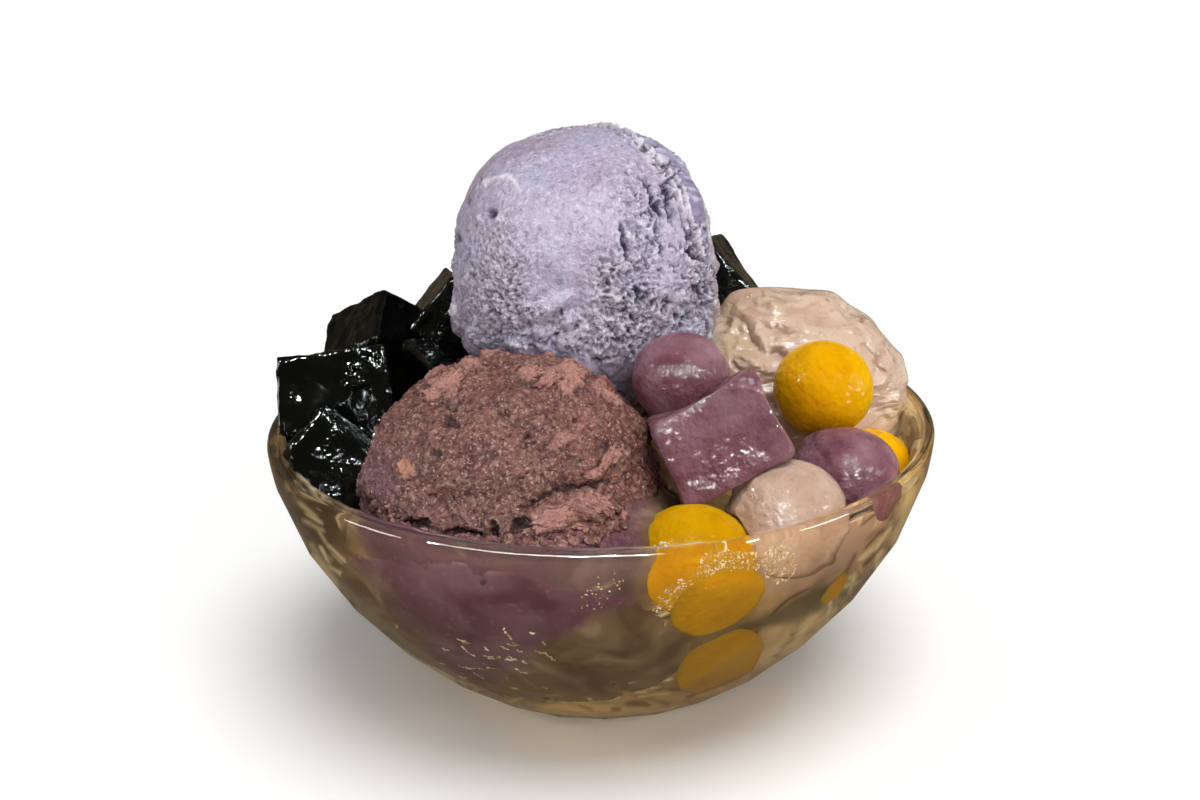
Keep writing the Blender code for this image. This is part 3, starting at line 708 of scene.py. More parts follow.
def makeIceCream():
    look = iceCream
    directions, points, faces, touching, seen, pixels = startLump(look, iceCreamRule, "ice_cream_scoop")
    sway = 0.030 * cloudy(points, 9, 21) + 0.016 * cloudy(points, 2.6, 23)
    tear = towards(directions, look["tearAxis"]) - look["tearAt"] + sway
    edge = towards(directions, look["edgeAxis"]) - look["edgeAt"] + sway
    band = fade(tear, 0.03, 0.06) * fade(edge, 0.01, -0.03)
    beyond = fade(edge, -0.02, 0.02)

    # where the skin is smooth and where its ridges stand open
    patches = fade(cloudy(points, 20, 31, 2), -0.05, 0.30)
    rough = 0.10 + (1 - seen) * 0.85 * patches + 0.35 * beyond + 0.4 * fade(directions[:, 2], -0.35, -0.6)
    rough += 0.5 * np.exp(-((tear + 0.01) / 0.06) ** 2)
    for place, radii, turn, amount in look["roughZones"]:
        rough += amount * seen * spot(pixels, place, radii, turn, 0.6)
    rough = np.clip(rough, 0, 1.25)

    # curled ridges, with painted shade low between them and painted highlight on their tops
    twist = points + 0.8 * np.stack([cloudy(points, 2.2, 41 + axis, 2) for axis in range(3)], 1)
    worm = np.clip(1 - np.abs(cloudy(twist, look["wormSize"], 51, 2)) * 5.0, -1, 1)
    rise = look["wormHeight"] * (worm - 0.35) * rough
    rise += look["fineHeight"] * cloudy(points, look["fineSize"], 61, 2) * (0.5 + rough)
    rise += 0.55 * cloudy(points, 7.0, 71, 2) + 0.9 * cloudy(points, 15.0, 75, 2)
    hollowShade = 0.6 * np.clip(-0.15 - worm, 0, 1) * rough
    frostAndHighlight = 0.55 * fade(worm, 0.65, 1.0) * np.clip(rough, 0, 1)

    # layers that tore, with a frosty lip that gets painted highlight, and painted shade in the gaps behind it
    layer = (tear + 0.10) / look["strata"] + 0.7 * cloudy(points, 5.0, 83, 2)
    saw = layer - np.floor(layer)
    torn = fade(tear, -0.11, -0.06) * fade(tear, 0.05, 0.03) * fade(cloudy(points, 5.5, 85, 2), -0.18, 0.05)
    rise += look["strataHeight"] * (saw - 0.5) * torn
    hollowShade += 0.75 * fade(saw, 0.22, 0.06) * torn
    frostAndHighlight += 0.55 * fade(saw, 0.7, 0.95) * torn
    broken = fade(cloudy(points, 5.0, 87, 2), -0.12, 0.06)
    for at, wide, deep in ((0.0, 0.015, 1.5), (-0.062, 0.010, 0.9)):
        gap = np.exp(-((tear - at) / wide) ** 2) * broken
        rise -= deep * gap
        hollowShade += 0.75 * gap
    lip = np.exp(-((tear - 0.030) / 0.012) ** 2)
    rise += 0.75 * lip - 1.1 * fade(tear, 0.035, 0.06) - 0.7 * beyond
    frostAndHighlight += 0.75 * lip
    frostAndHighlight += 0.5 * np.exp(-((edge - 0.005) / 0.012) ** 2)

    # brush-like streaks, across the tear in the band and along it past the edge; painted shade where they
    # sink and painted highlight where they rise
    axis = np.array(look["tearAxis"]) / np.linalg.norm(look["tearAxis"])
    aside = np.cross(axis, (0, 0, 1.0))
    aside /= np.linalg.norm(aside)
    around = np.arctan2(directions @ np.cross(axis, aside), directions @ aside) * 30
    across = cloudy(np.stack([around, tear * 5, tear * 0], 1), 1.3, 91, 2)
    along = cloudy(np.stack([around * 0.15, tear * 30, tear * 0], 1), 1.5, 95, 2)
    rise += 0.42 * across * band + 0.45 * along * beyond
    hollowShade += 0.45 * fade(across, -0.10, -0.35) * band + 0.35 * fade(along, -0.12, -0.35) * beyond
    frostAndHighlight += 0.5 * fade(across, 0.12, 0.35) * band + 0.5 * fade(along, 0.12, 0.35) * beyond

    # small holes, painted in shade
    near, owner = pebbly(points, 4.2, 81)
    hole = (1 - fade(near, 0.05, 0.13)) * (owner < 0.6)
    rise -= 0.35 * hole
    hollowShade += 0.45 * hole
    jagged = pixels + np.stack([cloudy(points, 1.1, 17, 2), cloudy(points, 1.1, 19, 2)]) * 4.0
    draw = np.random.default_rng(25)
    nicks = [(line, draw.uniform(0.9, 1.7), draw.uniform(0.3, 0.9)) for region in look["nicks"]
             for line in strewn(draw, *region)]
    # cracks, nicks and pits are painted in shade, with painted highlight along each crack's right-hand rim;
    # the lips and the ring get painted highlight
    for line, wide, deep in (*look["cracks"], *nicks):
        crack = crackAt(jagged, line, wide) * seen * min(1.0, 0.35 + deep)
        rise -= deep * crack
        hollowShade += 0.95 * crack
        frostAndHighlight += 0.5 * np.clip(crackAt(jagged + np.array([[2.6], [0.0]]), line, wide) * seen - crack, 0, 1)
    for line, wide, high in look["lips"]:
        lip = crackAt(pixels, line, wide) * seen
        rise += high * lip
        frostAndHighlight += 0.7 * lip
    for place, radii, deep in look["pits"]:
        pit = spot(pixels, place, radii, 0, 0.4) * seen
        rise -= deep * pit
        hollowShade += 0.85 * pit
    place, radius, wide, high = look["ring"]
    circle = np.exp(-((np.hypot(pixels[0] - place[0], pixels[1] - place[1]) - radius) / wide) ** 2) * seen
    rise += high * circle
    frostAndHighlight += 0.6 * circle

    hem = fade(directions[:, 2], -0.42, -0.62)
    rise += 1.1 * hem * cloudy(points, 4.5, 97, 2)
    # painted bluish shade on the torn band, on the underside and on one spot low in front
    bluishShade = np.clip(0.7 * band + 0.5 * hem + 0.6 * spot(pixels, *look["bluishShadeSpot"]) * seen, 0, 0.8)
    warm = np.clip(0.75 * beyond + 0.5 * fade(cloudy(points, 12, 99, 2), 0.1, 0.4) * (1 - seen), 0, 0.85)
    marks = {"hollowShade": np.clip(hollowShade, 0, 0.95), "frostAndHighlight": np.clip(frostAndHighlight, 0, 0.9), "bluishShade": bluishShade, "warm": warm,
             "icy": np.clip(0.42 + 0.5 * rough, 0, 1)}
    piece = makePiece("iceCream", raised(look, points, rise, touching), faces, scoopedIceCream(), marks)
    standIn(piece, "taro_ice_cream", "ice_cream_scoop")


print("ice cream")
makeIceCream()


coarseMash = {
    "middle": (-20.3, -34.0, 60.5), "half": (33.6, 32.6, 31.5), "sole": 0.45, "grid": 112, "slack": 1.2,
    "wander": (2.2, 111, 0.7, 8),
    "grainSize": 1.4, "grainHeight": 0.60, "lumpSize": 3.2, "lumpHeight": 0.95,
    # torn flakes by middle, half sizes, turn and how dry; cracks by line, width and depth; pits as above
    "flakes": (((446, 384), (17, 10), -30, 1.0), ((441, 396), (9, 6), 10, 1.0),
               ((540, 377), (24, 8), 12, 0.9), ((569, 376), (14, 17), 15, 1.0),
               ((608, 461), (15, 5), -42, 0.9), ((407, 470), (8, 9), 0, 0.8),
               ((558, 521), (40, 20), -16, 0.55), ((596, 507), (24, 13), 22, 0.6),
               ((562, 440), (20, 7), -32, 0.5), ((606, 392), (17, 6), 38, 0.7),
               ((470, 366), (12, 5), -20, 0.6), ((538, 424), (7, 5), 0, 0.5),
               ((585, 420), (14, 4), -50, 0.35)),
    "cracks": (([(520, 509), (545, 496), (575, 486), (600, 484), (626, 481)], 2.0, 1.6),
               ([(512, 380), (528, 388), (540, 386)], 1.5, 1.0),
               ([(440, 403), (452, 407), (462, 400)], 1.6, 0.9),
               ([(536, 545), (570, 549), (600, 541), (618, 530)], 2.0, 1.4),
               ([(527, 452), (525, 440), (532, 431)], 1.5, 0.8),
               ([(598, 503), (612, 512), (622, 518)], 1.6, 0.9)),
    "pits": (((450, 423), (7, 6), 1.1), ((457, 535), (15, 6), 2.2), ((413, 526), (15, 7), 2.0),
             ((524, 524), (12, 6), 1.6), ((495, 530), (3, 10), 1.4), ((470, 538), (10, 4), 1.6),
             ((436, 452), (5, 4), 0.6), ((604, 447), (6, 3), 0.6)),
    # the loose sheet at the lower right: its upper edge, and where it lies; then the amber and mauve stains
    "ledge": ((515, 575, 626), (512, 488, 482)), "ledgeAt": ((575, 520), (62, 33), -8, 0.12),
    "amber": ((406, 470), (8, 9), 0, 0.5), "mauve": ((368, 478), (24, 50), -20, 0.7),
}


def coarseMashRule(d):
    lip = 0.06 * np.exp(-(((d[:, 2] + 0.45) / 0.14) ** 2))
    broken = 0.11 * np.abs(unevenAt(d, 8.3, 5.0, 1.0)) * fade(d[:, 2], -0.1, -0.3)
    return 1 + lip - broken + unevenAt(d, 5.9, 4.5, 0.05)


def coarseTaroMash():
    # Steamed red taro, broken up coarsely with sugar and rolled by the scoop. The eye gets damp sandy grains,
    # red-brown and grey-brown with painted glints, painted light on the grains' tops and painted shade
    # between them, and drier salmon flakes pressed into the crown.
    made, tree, place = newMaterial("crushedTaroMash")

    def muted(mark):  # a mark's value, never so strong that it hides the grains
        value = addNode(tree, "Attribute", {"attribute_name": mark}).outputs["Fac"]
        return addNode(tree, "MapRange", links={"Value": value, "To Max": 0.8}).outputs["Result"]

    clouds = addNode(tree, "TexNoise", links={
        "Vector": place, "Scale": 1 / 0.010, "Detail": 4.0, "Roughness": 0.6})
    color = addNode(tree, "ValToRGB", links={"Fac": clouds},
                    stops=[(0.34, "#643835"), (0.46, "#74463d"), (0.56, "#7b4d44"), (0.70, "#804e4e")])
    husks = addNode(tree, "TexNoise", links={
        "Vector": place, "Scale": 1 / 0.0045, "Detail": 4.0, "Roughness": 0.7})
    dry = addNode(tree, "ValToRGB", links={"Fac": husks}, stops=[(0.50, 0.0), (0.66, 0.75)])
    grains = addNode(tree, "TexNoise", links={
        "Vector": place, "Scale": 1 / 0.0011, "Detail": 3.0, "Roughness": 0.68, "Distortion": 0.4})
    # painted light on the grains' tops and painted shade between them, where their bumps rise and sink
    light = addNode(tree, "ValToRGB", links={"Fac": grains}, stops=[(0.53, 0.0), (0.70, 0.75)])
    deep = addNode(tree, "ValToRGB", links={"Fac": grains}, stops=[(0.33, 1.0), (0.50, 0.0)])
    # painted glints: tiny pale specks
    glintGrain = addNode(tree, "TexNoise", links={"Vector": place, "Scale": 1 / 0.0006, "Detail": 0.0})
    glints = addNode(tree, "ValToRGB", links={"Fac": glintGrain}, stops=[(0.68, 0.0), (0.76, 0.7)])
    # the raised lumps get painted highlight and the hollows painted shade
    color = layered(tree, color, [
        (dry, "#8a6c58"), (light, "#b08a80"), (deep, "#3f2022"), (muted("mauve"), "#7b5263"),
        (muted("flake"), "#c78f82"), (muted("amber"), "#bb8560"), (glints, "#c4a398"),
        ("frostAndHighlight", "#9e6f6c"), ("hollowShade", "#33181a")])
    relief = addNode(tree, "Bump", links={"Strength": 1.0, "Distance": 0.8 * mm, "Height": grains})
    sparks = addNode(tree, "TexNoise", links={"Vector": place, "Scale": 1 / 0.0016, "Detail": 0.0})
    damp = addNode(tree, "ValToRGB", links={"Fac": sparks}, stops=[(0.50, 0.65), (0.66, 0.30)])
    return surfaced(made, addNode(tree, "BsdfPrincipled", links={
        "Base Color": color, "Roughness": damp, "IOR": 1.42, "Specular IOR Level": 0.2, "Normal": relief,
        "Coat Weight": 0.10, "Coat Roughness": 0.10, "Coat IOR": 1.36, "Coat Normal": relief,
        "Subsurface Weight": 0.05, "Subsurface Radius": (1.0, 0.5, 0.4), "Subsurface Scale": 0.6 * mm}))


def makeCoarseMash():
    look = coarseMash
    directions, points, faces, touching, seen, pixels = startLump(look, coarseMashRule, "taro_mash_scoop")
    near, owner = pebbly(points + 0.6 * cloudy(points, 1.6, 117)[:, None], look["grainSize"], 121)
    lumps = cloudy(points, look["lumpSize"], 131, 3, 0.65)
    rise = look["grainHeight"] * (0.55 - near) * (0.6 + 0.8 * owner) * 1.6
    rise += look["lumpHeight"] * lumps + 0.9 * cloudy(points, 9.0, 141, 2)
    # painted shade in low lumps and between grains, painted highlight on high lumps
    hollowShade = 1.2 * np.clip(-0.14 - lumps, 0, 0.4) + 0.7 * np.clip(near - 0.60, 0, 0.4)
    frostAndHighlight = 0.8 * np.clip(lumps - 0.16, 0, 0.4)

    # torn flakes stand on the crown with a crisp edge, and painted shade in the gap under it
    ragged = 0.5 * cloudy(points, 3.0, 151, 3, 0.7)
    flake = np.zeros(len(points))
    for place, radii, turn, amount in look["flakes"]:
        outside = ellipseAt(pixels, place, radii, turn) - 1 + ragged  # in the flake's own radii
        sheet = fade(outside, 0.03, -0.05) * seen
        rise += (0.7 + 0.5 * lumps) * sheet
        under = np.exp(-((outside - 0.13) / 0.09) ** 2) * fade(pixels[1] - place[1], -2, 4) * seen
        rise -= 0.5 * under
        hollowShade += 0.75 * under * amount
        flake = np.maximum(flake, amount * sheet)
    scattered = fade(cloudy(points, 7.0, 161, 2), 0.24, 0.26) * (1 - seen) * fade(directions[:, 2], -0.2, 0.1)
    rise += 0.8 * scattered
    flake = np.maximum(flake, 0.7 * scattered)
    # cracks and pits are painted in shade
    for line, wide, deep in look["cracks"]:
        crack = crackAt(pixels, line, wide) * seen
        rise -= deep * crack
        hollowShade += crack
    for place, radii, deep in look["pits"]:
        pit = fade(ellipseAt(pixels, place, radii, 0) - 1 + ragged * 1.6, 0.25, -0.25) * seen
        rise -= deep * pit
        hollowShade += 0.85 * pit
    # the torn hem underneath gets painted shade
    hem = fade(directions[:, 2], -0.22, -0.45)
    torn = np.clip(np.abs(cloudy(points, 5.0, 171, 3, 0.6)) * 5 - 0.35, 0, 1)
    rise -= 1.9 * hem * torn * (1 - seen * 0.3)
    hollowShade += 0.7 * hem * torn
    ledge = fade(pixels[1] - np.interp(pixels[0], *look["ledge"]), 0, 3) * seen
    rise += ledge * spot(pixels, *look["ledgeAt"])
    points = keepInGlass(raised(look, points, rise, touching))
    marks = {"hollowShade": np.clip(hollowShade, 0, 0.92), "frostAndHighlight": np.clip(frostAndHighlight, 0, 0.6),
             "flake": np.clip(flake * (0.85 + lumps), 0, 0.95),
             "amber": spot(pixels, *look["amber"]) * seen * 0.8,
             "mauve": 0.8 * spot(pixels, *look["mauve"]) * seen}
    piece = makePiece("coarseMash", points, faces, coarseTaroMash(), marks)
    standIn(piece, "taro_mash_coarse", "taro_mash_scoop")


print("coarse mash")
makeCoarseMash()


def softCopy(name, nodeName, voxel):  # a fine, rounded copy of a CAD solid, with its points and normals in mm
    shape = bmesh.new()
    shape.from_mesh(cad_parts[nodeName].data)
    bmesh.ops.remove_doubles(shape, verts=shape.verts, dist=0.002 * mm)
    piece = cleanObject(name, shape, [
        ("REMESH", {"mode": "VOXEL", "voxel_size": voxel * mm}),
        ("SMOOTH", {"factor": 0.6, "iterations": 5})])
    count = len(piece.data.vertices)
    points, normals = np.zeros(count * 3, np.float32), np.zeros(count * 3, np.float32)
    piece.data.vertices.foreach_get("co", points)
    piece.data.vertices.foreach_get("normal", normals)
    return piece, points.reshape(-1, 3).astype(float) / mm, normals.reshape(-1, 3).astype(float)


def reshape(piece, points, material, marks):  # gives a soft copy its final points, finish and marks
    mesh = piece.data
    mesh.vertices.foreach_set("co", (points * mm).astype(np.float32).ravel())
    addMarks(mesh, marks)
    mesh.materials.clear()
    mesh.materials.append(material)
    mesh.update()
    mesh.shade_smooth()


smoothMash = {  # its purple fades into syrup at these heights, and in front at these places in the photograph
    "voxel": 0.95, "fadeStart": 30.0, "fadeEnd": 19.0, "edgeFade": (-16, 22),
    "crushedLeft": (378, 398), "crushedRight": (614, 596),  # between these, coarse mash lies on it
    "climbTo": 65.6,  # how high its edge is smeared up the glass
    "leftEdge": ((530, 600, 650, 690), (348, 388, 430, 486)),
    "rightEdge": ((560, 600, 625, 650, 690), (646, 636, 585, 530, 478)),
}


def smoothTaroMash():
    # Purple taro put through a sieve with syrup. The eye gets a moist, dense purple with soft pale streaks
    # and a dull shine, stained brown by syrup where it ends, and grainier where the coarse mash lies on it.
    made, tree, place = newMaterial("sievedTaroMash")
    clouds = addNode(tree, "TexNoise", links={
        "Vector": place, "Scale": 1 / 0.013, "Detail": 4.0, "Distortion": 0.5})
    color = addNode(tree, "ValToRGB", links={"Fac": clouds},
                    stops=[(0.34, "#52303d"), (0.48, "#644452"), (0.60, "#6e515f"), (0.74, "#7c6371")])
    grains = addNode(tree, "TexNoise", links={"Vector": place, "Scale": 1 / 0.0014, "Detail": 3.0})
    # painted light on the grains' tops, where their bumps rise
    light = addNode(tree, "ValToRGB", links={"Fac": grains}, stops=[(0.58, 0.0), (0.72, 0.4)])
    grit = addNode(tree, "TexNoise", links={
        "Vector": place, "Scale": 1 / 0.0017, "Detail": 5.0, "Roughness": 0.7})
    crushed = addNode(tree, "ValToRGB", links={"Fac": grit},
                      stops=[(0.36, "#4a2a30"), (0.50, "#6e464b"), (0.64, "#93696c")])
    streams = addNode(tree, "TexNoise", links={
        "Vector": place, "Scale": 1 / 0.012, "Detail": 3.0, "Distortion": 1.2})
    brown = addNode(tree, "ValToRGB", links={"Fac": streams},
                    stops=[(0.36, "#5b4732"), (0.50, "#6f5b42"), (0.62, "#7f6b52"), (0.74, "#a08d73")])
    relief = addNode(tree, "Bump", links={"Strength": 0.35, "Distance": 0.3 * mm, "Height": grains})
    return surfaced(made, addNode(tree, "BsdfPrincipled", links={
        "Base Color": layered(tree, color, [(light, "#8a7078"), ("crushed", crushed), ("syrup", brown)]),
        "Roughness": 0.38, "IOR": 1.42, "Specular IOR Level": 0.12, "Normal": relief,
        "Subsurface Weight": 0.12, "Subsurface Radius": (1.0, 0.5, 0.6), "Subsurface Scale": 1.2 * mm}))


def purpleZone(px, py, blur):  # where the mash shows purple at the glass
    left, right = np.interp(py, *smoothMash["leftEdge"]), np.interp(py, *smoothMash["rightEdge"])
    soft = smoothMash["edgeFade"]
    return fade(px + 2 * blur - left, *soft) * fade(right - px + 2 * blur, *soft)


def makeSmoothMash():
    look = smoothMash
    piece, points, normals = softCopy("smoothMash", "taro_mash_bed", look["voxel"])
    rise = 0.5 * cloudy(points, 5.0, 181, 2) + 0.25 * cloudy(points, 1.8, 185, 2)
    away = roomLeft(points)
    climb = fade(normals[:, 2], 0.1, 0.6) * (1 - fade(away, 0.8, 6.0)) * fade(points[:, 2], 48, 56)
    px = toPixels(points)[0]
    crushed = fade(normals[:, 2], 0.1, 0.5) * (0.55 + 0.45 * fade(px, *look["crushedRight"]))
    crushed = crushed * fade(px, *look["crushedLeft"]) * fade(points[:, 2], 55, 59)
    rise += crushed * (0.7 * cloudy(points, 2.6, 187, 3, 0.7) - 0.2)
    points = points + normals * rise[:, None]
    points[:, 2] += climb * np.maximum(look["climbTo"] - points[:, 2], 0)
    points = meetGlass(points, 1.8, 0.2)
    blur = 12 * cloudy(points, 11.0, 191, 3)
    purple = purpleZone(*toPixels(points), blur)
    front = fade(-points[:, 1], 10, 22)
    syrup = fade(points[:, 2] + blur, look["fadeStart"], look["fadeEnd"])
    syrup = syrup * (1 - front) + (1 - purple) * front
    reshape(piece, points, smoothTaroMash(), {"syrup": syrup * 0.92, "crushed": crushed})
    standIn(piece, "taro_mash_smooth", "taro_mash_bed")


print("smooth mash")
makeSmoothMash()


mashBits = {  # bits torn off the mash: flakes by place, half sizes and turn, and crumbs strewn along its hem
    "flakes": (((446, 384), (19, 8), -30), ((436, 396), (11, 7), 15), ((452, 392), (9, 5), -60),
               ((528, 373), (17, 6), 12), ((549, 380), (14, 6), -15), ((571, 371), (12, 9), 20),
               ((566, 391), (8, 12), 10), ((556, 372), (10, 5), 30), ((606, 461), (17, 5), -42),
               ((592, 474), (10, 4), -30), ((607, 394), (15, 4), 38), ((555, 520), (22, 9), -16),
               ((580, 508), (18, 8), 12), ((603, 504), (13, 6), 40), ((540, 532), (16, 7), -8),
               ((587, 524), (18, 7), -14)),
    "thick": 0.16,  # a flake's thickness against its width
    "hem": ((366, 384, 410, 440, 480, 520, 556, 596, 624), (488, 514, 531, 542, 547, 549, 546, 534, 516)),
    "crumbs": 240, "crumb": (3.0, 9.0), "spread": 5.0, "grid": 13, "crumbGrid": 4,
}


def makeMashBits():
    look, draw = mashBits, np.random.default_rng(401)
    trees = [treeOf(bpy.data.objects[name].data) for name in ("coarseMash", "smoothMash")]
    bits = [(*flake, look["thick"], 0.8) for flake in look["flakes"]]
    for number in range(look["crumbs"]):
        across = draw.uniform(look["hem"][0][0], look["hem"][0][-1])
        down = np.interp(across, *look["hem"]) + draw.normal() * look["spread"]
        size = draw.uniform(*look["crumb"]) * draw.uniform(0.6, 1)
        bits.append(((across, down), (size, size * draw.uniform(0.5, 0.9)), draw.uniform(0, 180), 0.6,
                     0.6 * (draw.random() < 0.25)))
    shapes = [ballGrid(look["grid"]), ballGrid(look["crumbGrid"])]
    points, faces, dryness, total = [], [], [], 0
    for number, (place, halves, turn, thick, dry) in enumerate(bits):
        eye, ray = sightLine(*place)
        hits = [tree.ray_cast(Vector(eye) * mm, Vector(ray)) for tree in trees]
        hits = [hit for hit in hits if hit[0] is not None]
        if not hits:  # the ray went past the mash
            continue
        at, normal, _, away = min(hits, key=lambda hit: hit[3])
        if roomLeft(np.array([at]) / mm)[0] < 1.6:  # none is squeezed between the mash and the glass
            continue
        directions, sides = shapes[number >= len(look["flakes"])]
        _, right, up, _ = cameraAxes()
        zoom = photoView["lens"] / photoView["sensor"] * photoView["wide"] / (away / mm)
        lean, outward = math.radians(turn), np.array(normal) * 0.7 - ray * 0.3
        outward /= np.linalg.norm(outward)
        along = right * math.cos(lean) - up * math.sin(lean)
        along -= outward * (along @ outward)
        along /= np.linalg.norm(along)
        aside = np.cross(outward, along)
        edge = 1 + 1.3 * cloudy(directions * 2 + number * 7.3, 0.9, 411, 4, 0.7)
        shape = directions * edge[:, None] * (halves[0] / zoom, halves[1] / zoom, halves[1] / zoom * thick)
        shape[:, 2] += 0.25 * cloudy(directions * 3 + number * 5.1, 1.0, 415, 2)
        points.append(np.array(at) / mm + shape @ np.stack([along, aside, outward]) + outward * 0.15)
        faces.append(sides + total)
        total += len(directions)
        dryness.append(np.full(len(directions), dry))
    marks = {"flake": np.concatenate(dryness)}
    bits = makePiece("mashBits", np.concatenate(points), np.concatenate(faces),
                     bpy.data.materials["crushedTaroMash"], marks)
    standIn(bits, "taro_mash_coarse")


print("flakes and crumbs")
makeMashBits()


taroPaste = {
    "middle": (47.0, 17.0, 61.8), "half": (30.6, 25.0, 29.4), "sole": 0.45, "grid": 84, "slack": 1.2,
    "wander": (4.0, 211, 0.5, 8),
    # ridges and creases by line, width and height; wet lumps by middle, half sizes, turn and how wet
    "ridges": (([(729, 326), (741, 311), (756, 326), (769, 352)], 5.0, 1.4),
               ([(752, 300), (766, 302), (784, 312)], 5.0, 0.8),
               ([(782, 290), (800, 300), (823, 304), (846, 316)], 8.0, 0.8),
               ([(846, 318), (870, 330), (888, 346)], 6.0, 0.8),
               ([(732, 352), (748, 360), (766, 372)], 4.0, 0.9),
               ([(878, 372), (894, 390), (902, 412)], 6.0, 0.8),
               ([(796, 322), (812, 328), (828, 342)], 5.0, 0.5)),
    "creases": (([(770, 352), (780, 350), (790, 356)], 2.4, 1.4),
                ([(744, 322), (752, 338), (760, 352)], 2.0, 1.0),
                ([(756, 318), (776, 326), (794, 332)], 2.4, 0.6),
                ([(862, 342), (876, 356), (884, 374)], 2.4, 0.6),
                ([(729, 362), (740, 372), (756, 382)], 2.2, 0.9)),
    "wet": (((738, 342), (16, 20), 0, 1.0), ((772, 304), (16, 6), 12, 0.8), ((812, 334), (12, 5), 20, 0.5),
            ((892, 412), (10, 12), 0, 0.8), ((735, 318), (12, 14), 0, 0.8)),
    "specks": ((825, 304), (882, 370), (877, 387), (802, 296), (858, 322), (762, 296), (893, 360)),
}


def taroPasteRule(d):
    along = d[:, 0] * 0.5 + d[:, 2] * 0.86
    ridge = 0.028 * np.sin(13 * along + 2.5 * d[:, 1] + 1.2 * cloudy(d * 30, 16, 201, 2))
    return 1 + ridge * 0.7 + unevenAt(d, 15.2, 3.0, 0.06)


def smearedTaroPaste():
    # Pale taro cooked down with milk and smeared by the scoop: cream-beige with a faint pink, in soft ridges,
    # with wetter, yellowish lumps where it was torn, painted shade in its hollows and creases, and small pale
    # spots painted on its skin as glints.
    made, tree, place = newMaterial("smearedTaroPaste")
    clouds = addNode(tree, "TexNoise", links={"Vector": place, "Scale": 1 / 0.010, "Detail": 4.0})
    color = addNode(tree, "ValToRGB", links={"Fac": clouds},
                    stops=[(0.34, "#c6a690"), (0.48, "#d2b59f"), (0.60, "#d7bfaa"), (0.74, "#dfcdb8")])
    fibres = addNode(tree, "TexNoise", links={"Vector": place, "Scale": 1 / 0.0015, "Detail": 3.0})
    # painted shade where the fibres' bumps sink
    deep = addNode(tree, "ValToRGB", links={"Fac": fibres}, stops=[(0.30, 0.4), (0.42, 0.0)])
    drag = addNode(tree, "Mapping", links={
        "Vector": place, "Rotation": (0.2, 0.7, 0.3), "Scale": (0.5, 1.0, 3.2)})
    smears = addNode(tree, "TexNoise", links={
        "Vector": drag, "Scale": 1 / 0.0055, "Detail": 3.0, "Distortion": 0.6})
    shade = addNode(tree, "ValToRGB", links={"Fac": smears}, stops=[(0.34, 0.55), (0.48, 0.0)])
    # painted glints: pale spots in the middle of small cells
    beads = addNode(tree, "TexVoronoi", links={"Vector": place, "Scale": 1 / 0.0034})
    glintSpots = addNode(tree, "ValToRGB", links={"Fac": beads.outputs["Distance"]},
                    stops=[(0.07, 0.8), (0.13, 0.0)])
    color = layered(tree, color, [
        (deep, "#a98672"), ("wet", "#c0aa86"), ("hollowShade", "#7d5c45"), ("speck", "#8b4a38"),
        (shade, "#b38e79"), (glintSpots, "#f6e6d6")])
    drawn = addNode(tree, "Bump", links={"Strength": 0.7, "Distance": 0.9 * mm, "Height": smears})
    relief = addNode(tree, "Bump", links={
        "Strength": 0.6, "Distance": 0.4 * mm, "Height": fibres, "Normal": drawn})
    sheen = addNode(tree, "ValToRGB", links={"Fac": clouds}, stops=[(0.40, 0.42), (0.60, 0.24)])
    return surfaced(made, addNode(tree, "BsdfPrincipled", links={
        "Base Color": color, "Roughness": sheen, "IOR": 1.42, "Normal": relief,
        "Coat Weight": 0.6, "Coat Roughness": 0.07, "Coat IOR": 1.36, "Coat Normal": relief,
        "Subsurface Weight": 0.25, "Subsurface Radius": (1.0, 0.7, 0.5), "Subsurface Scale": 1.6 * mm}))


def makePaste():
    look = taroPaste
    _, points, faces, touching, seen, pixels = startLump(look, taroPasteRule, "taro_paste_scoop")
    smear = points @ np.array([[0.6, 0.0, -0.8], [0.1, 1.0, 0.1], [0.25, 0.0, 0.2]]).T
    folds = cloudy(smear * (1, 1, 2.0), 11.0, 221, 2)
    strokes = cloudy(smear * (0.35, 0.35, 1.6), 3.0, 225, 2)
    rise = 1.2 * folds + 0.35 * strokes + 0.10 * cloudy(points, 1.5, 231, 2)
    # painted shade where the folds and strokes sink
    hollowShade = 0.5 * np.clip(-folds - 0.25, 0, 0.3) + 0.3 * np.clip(-strokes - 0.2, 0, 0.3)
    wet = np.zeros(len(points))
    for line, wide, high in look["ridges"]:
        rise += high * crackAt(pixels, line, wide) * seen
    # creases are painted in shade
    for line, wide, deep in look["creases"]:
        crease = crackAt(pixels, line, wide) * seen
        rise -= deep * crease
        hollowShade += 0.7 * crease
    lumps = cloudy(points, 3.0, 241, 2)
    for place, radii, turn, amount in look["wet"]:
        patch = amount * spot(pixels, place, radii, turn, 0.5) * seen
        wet = np.maximum(wet, patch)
        rise += 1.2 * patch * lumps
    speck = np.zeros(len(points))
    for place in look["specks"]:
        speck = np.maximum(speck, spot(pixels, place, (3.0, 1.8), 30, 0.4) * seen)
    near, owner = pebbly(points, 9.0, 251)
    speck = np.maximum(speck, (1 - seen) * (1 - fade(near, 0.04, 0.07)) * (owner < 0.6))
    points = keepInGlass(raised(look, points, rise, touching))
    marks = {"hollowShade": np.clip(hollowShade, 0, 0.8), "wet": np.clip(wet * (0.6 + lumps), 0, 0.8), "speck": speck * 0.7}
    piece = makePiece("taroPaste", points, faces, smearedTaroPaste(), marks)
    standIn(piece, "taro_paste", "taro_paste_scoop")


print("pale paste")
makePaste()


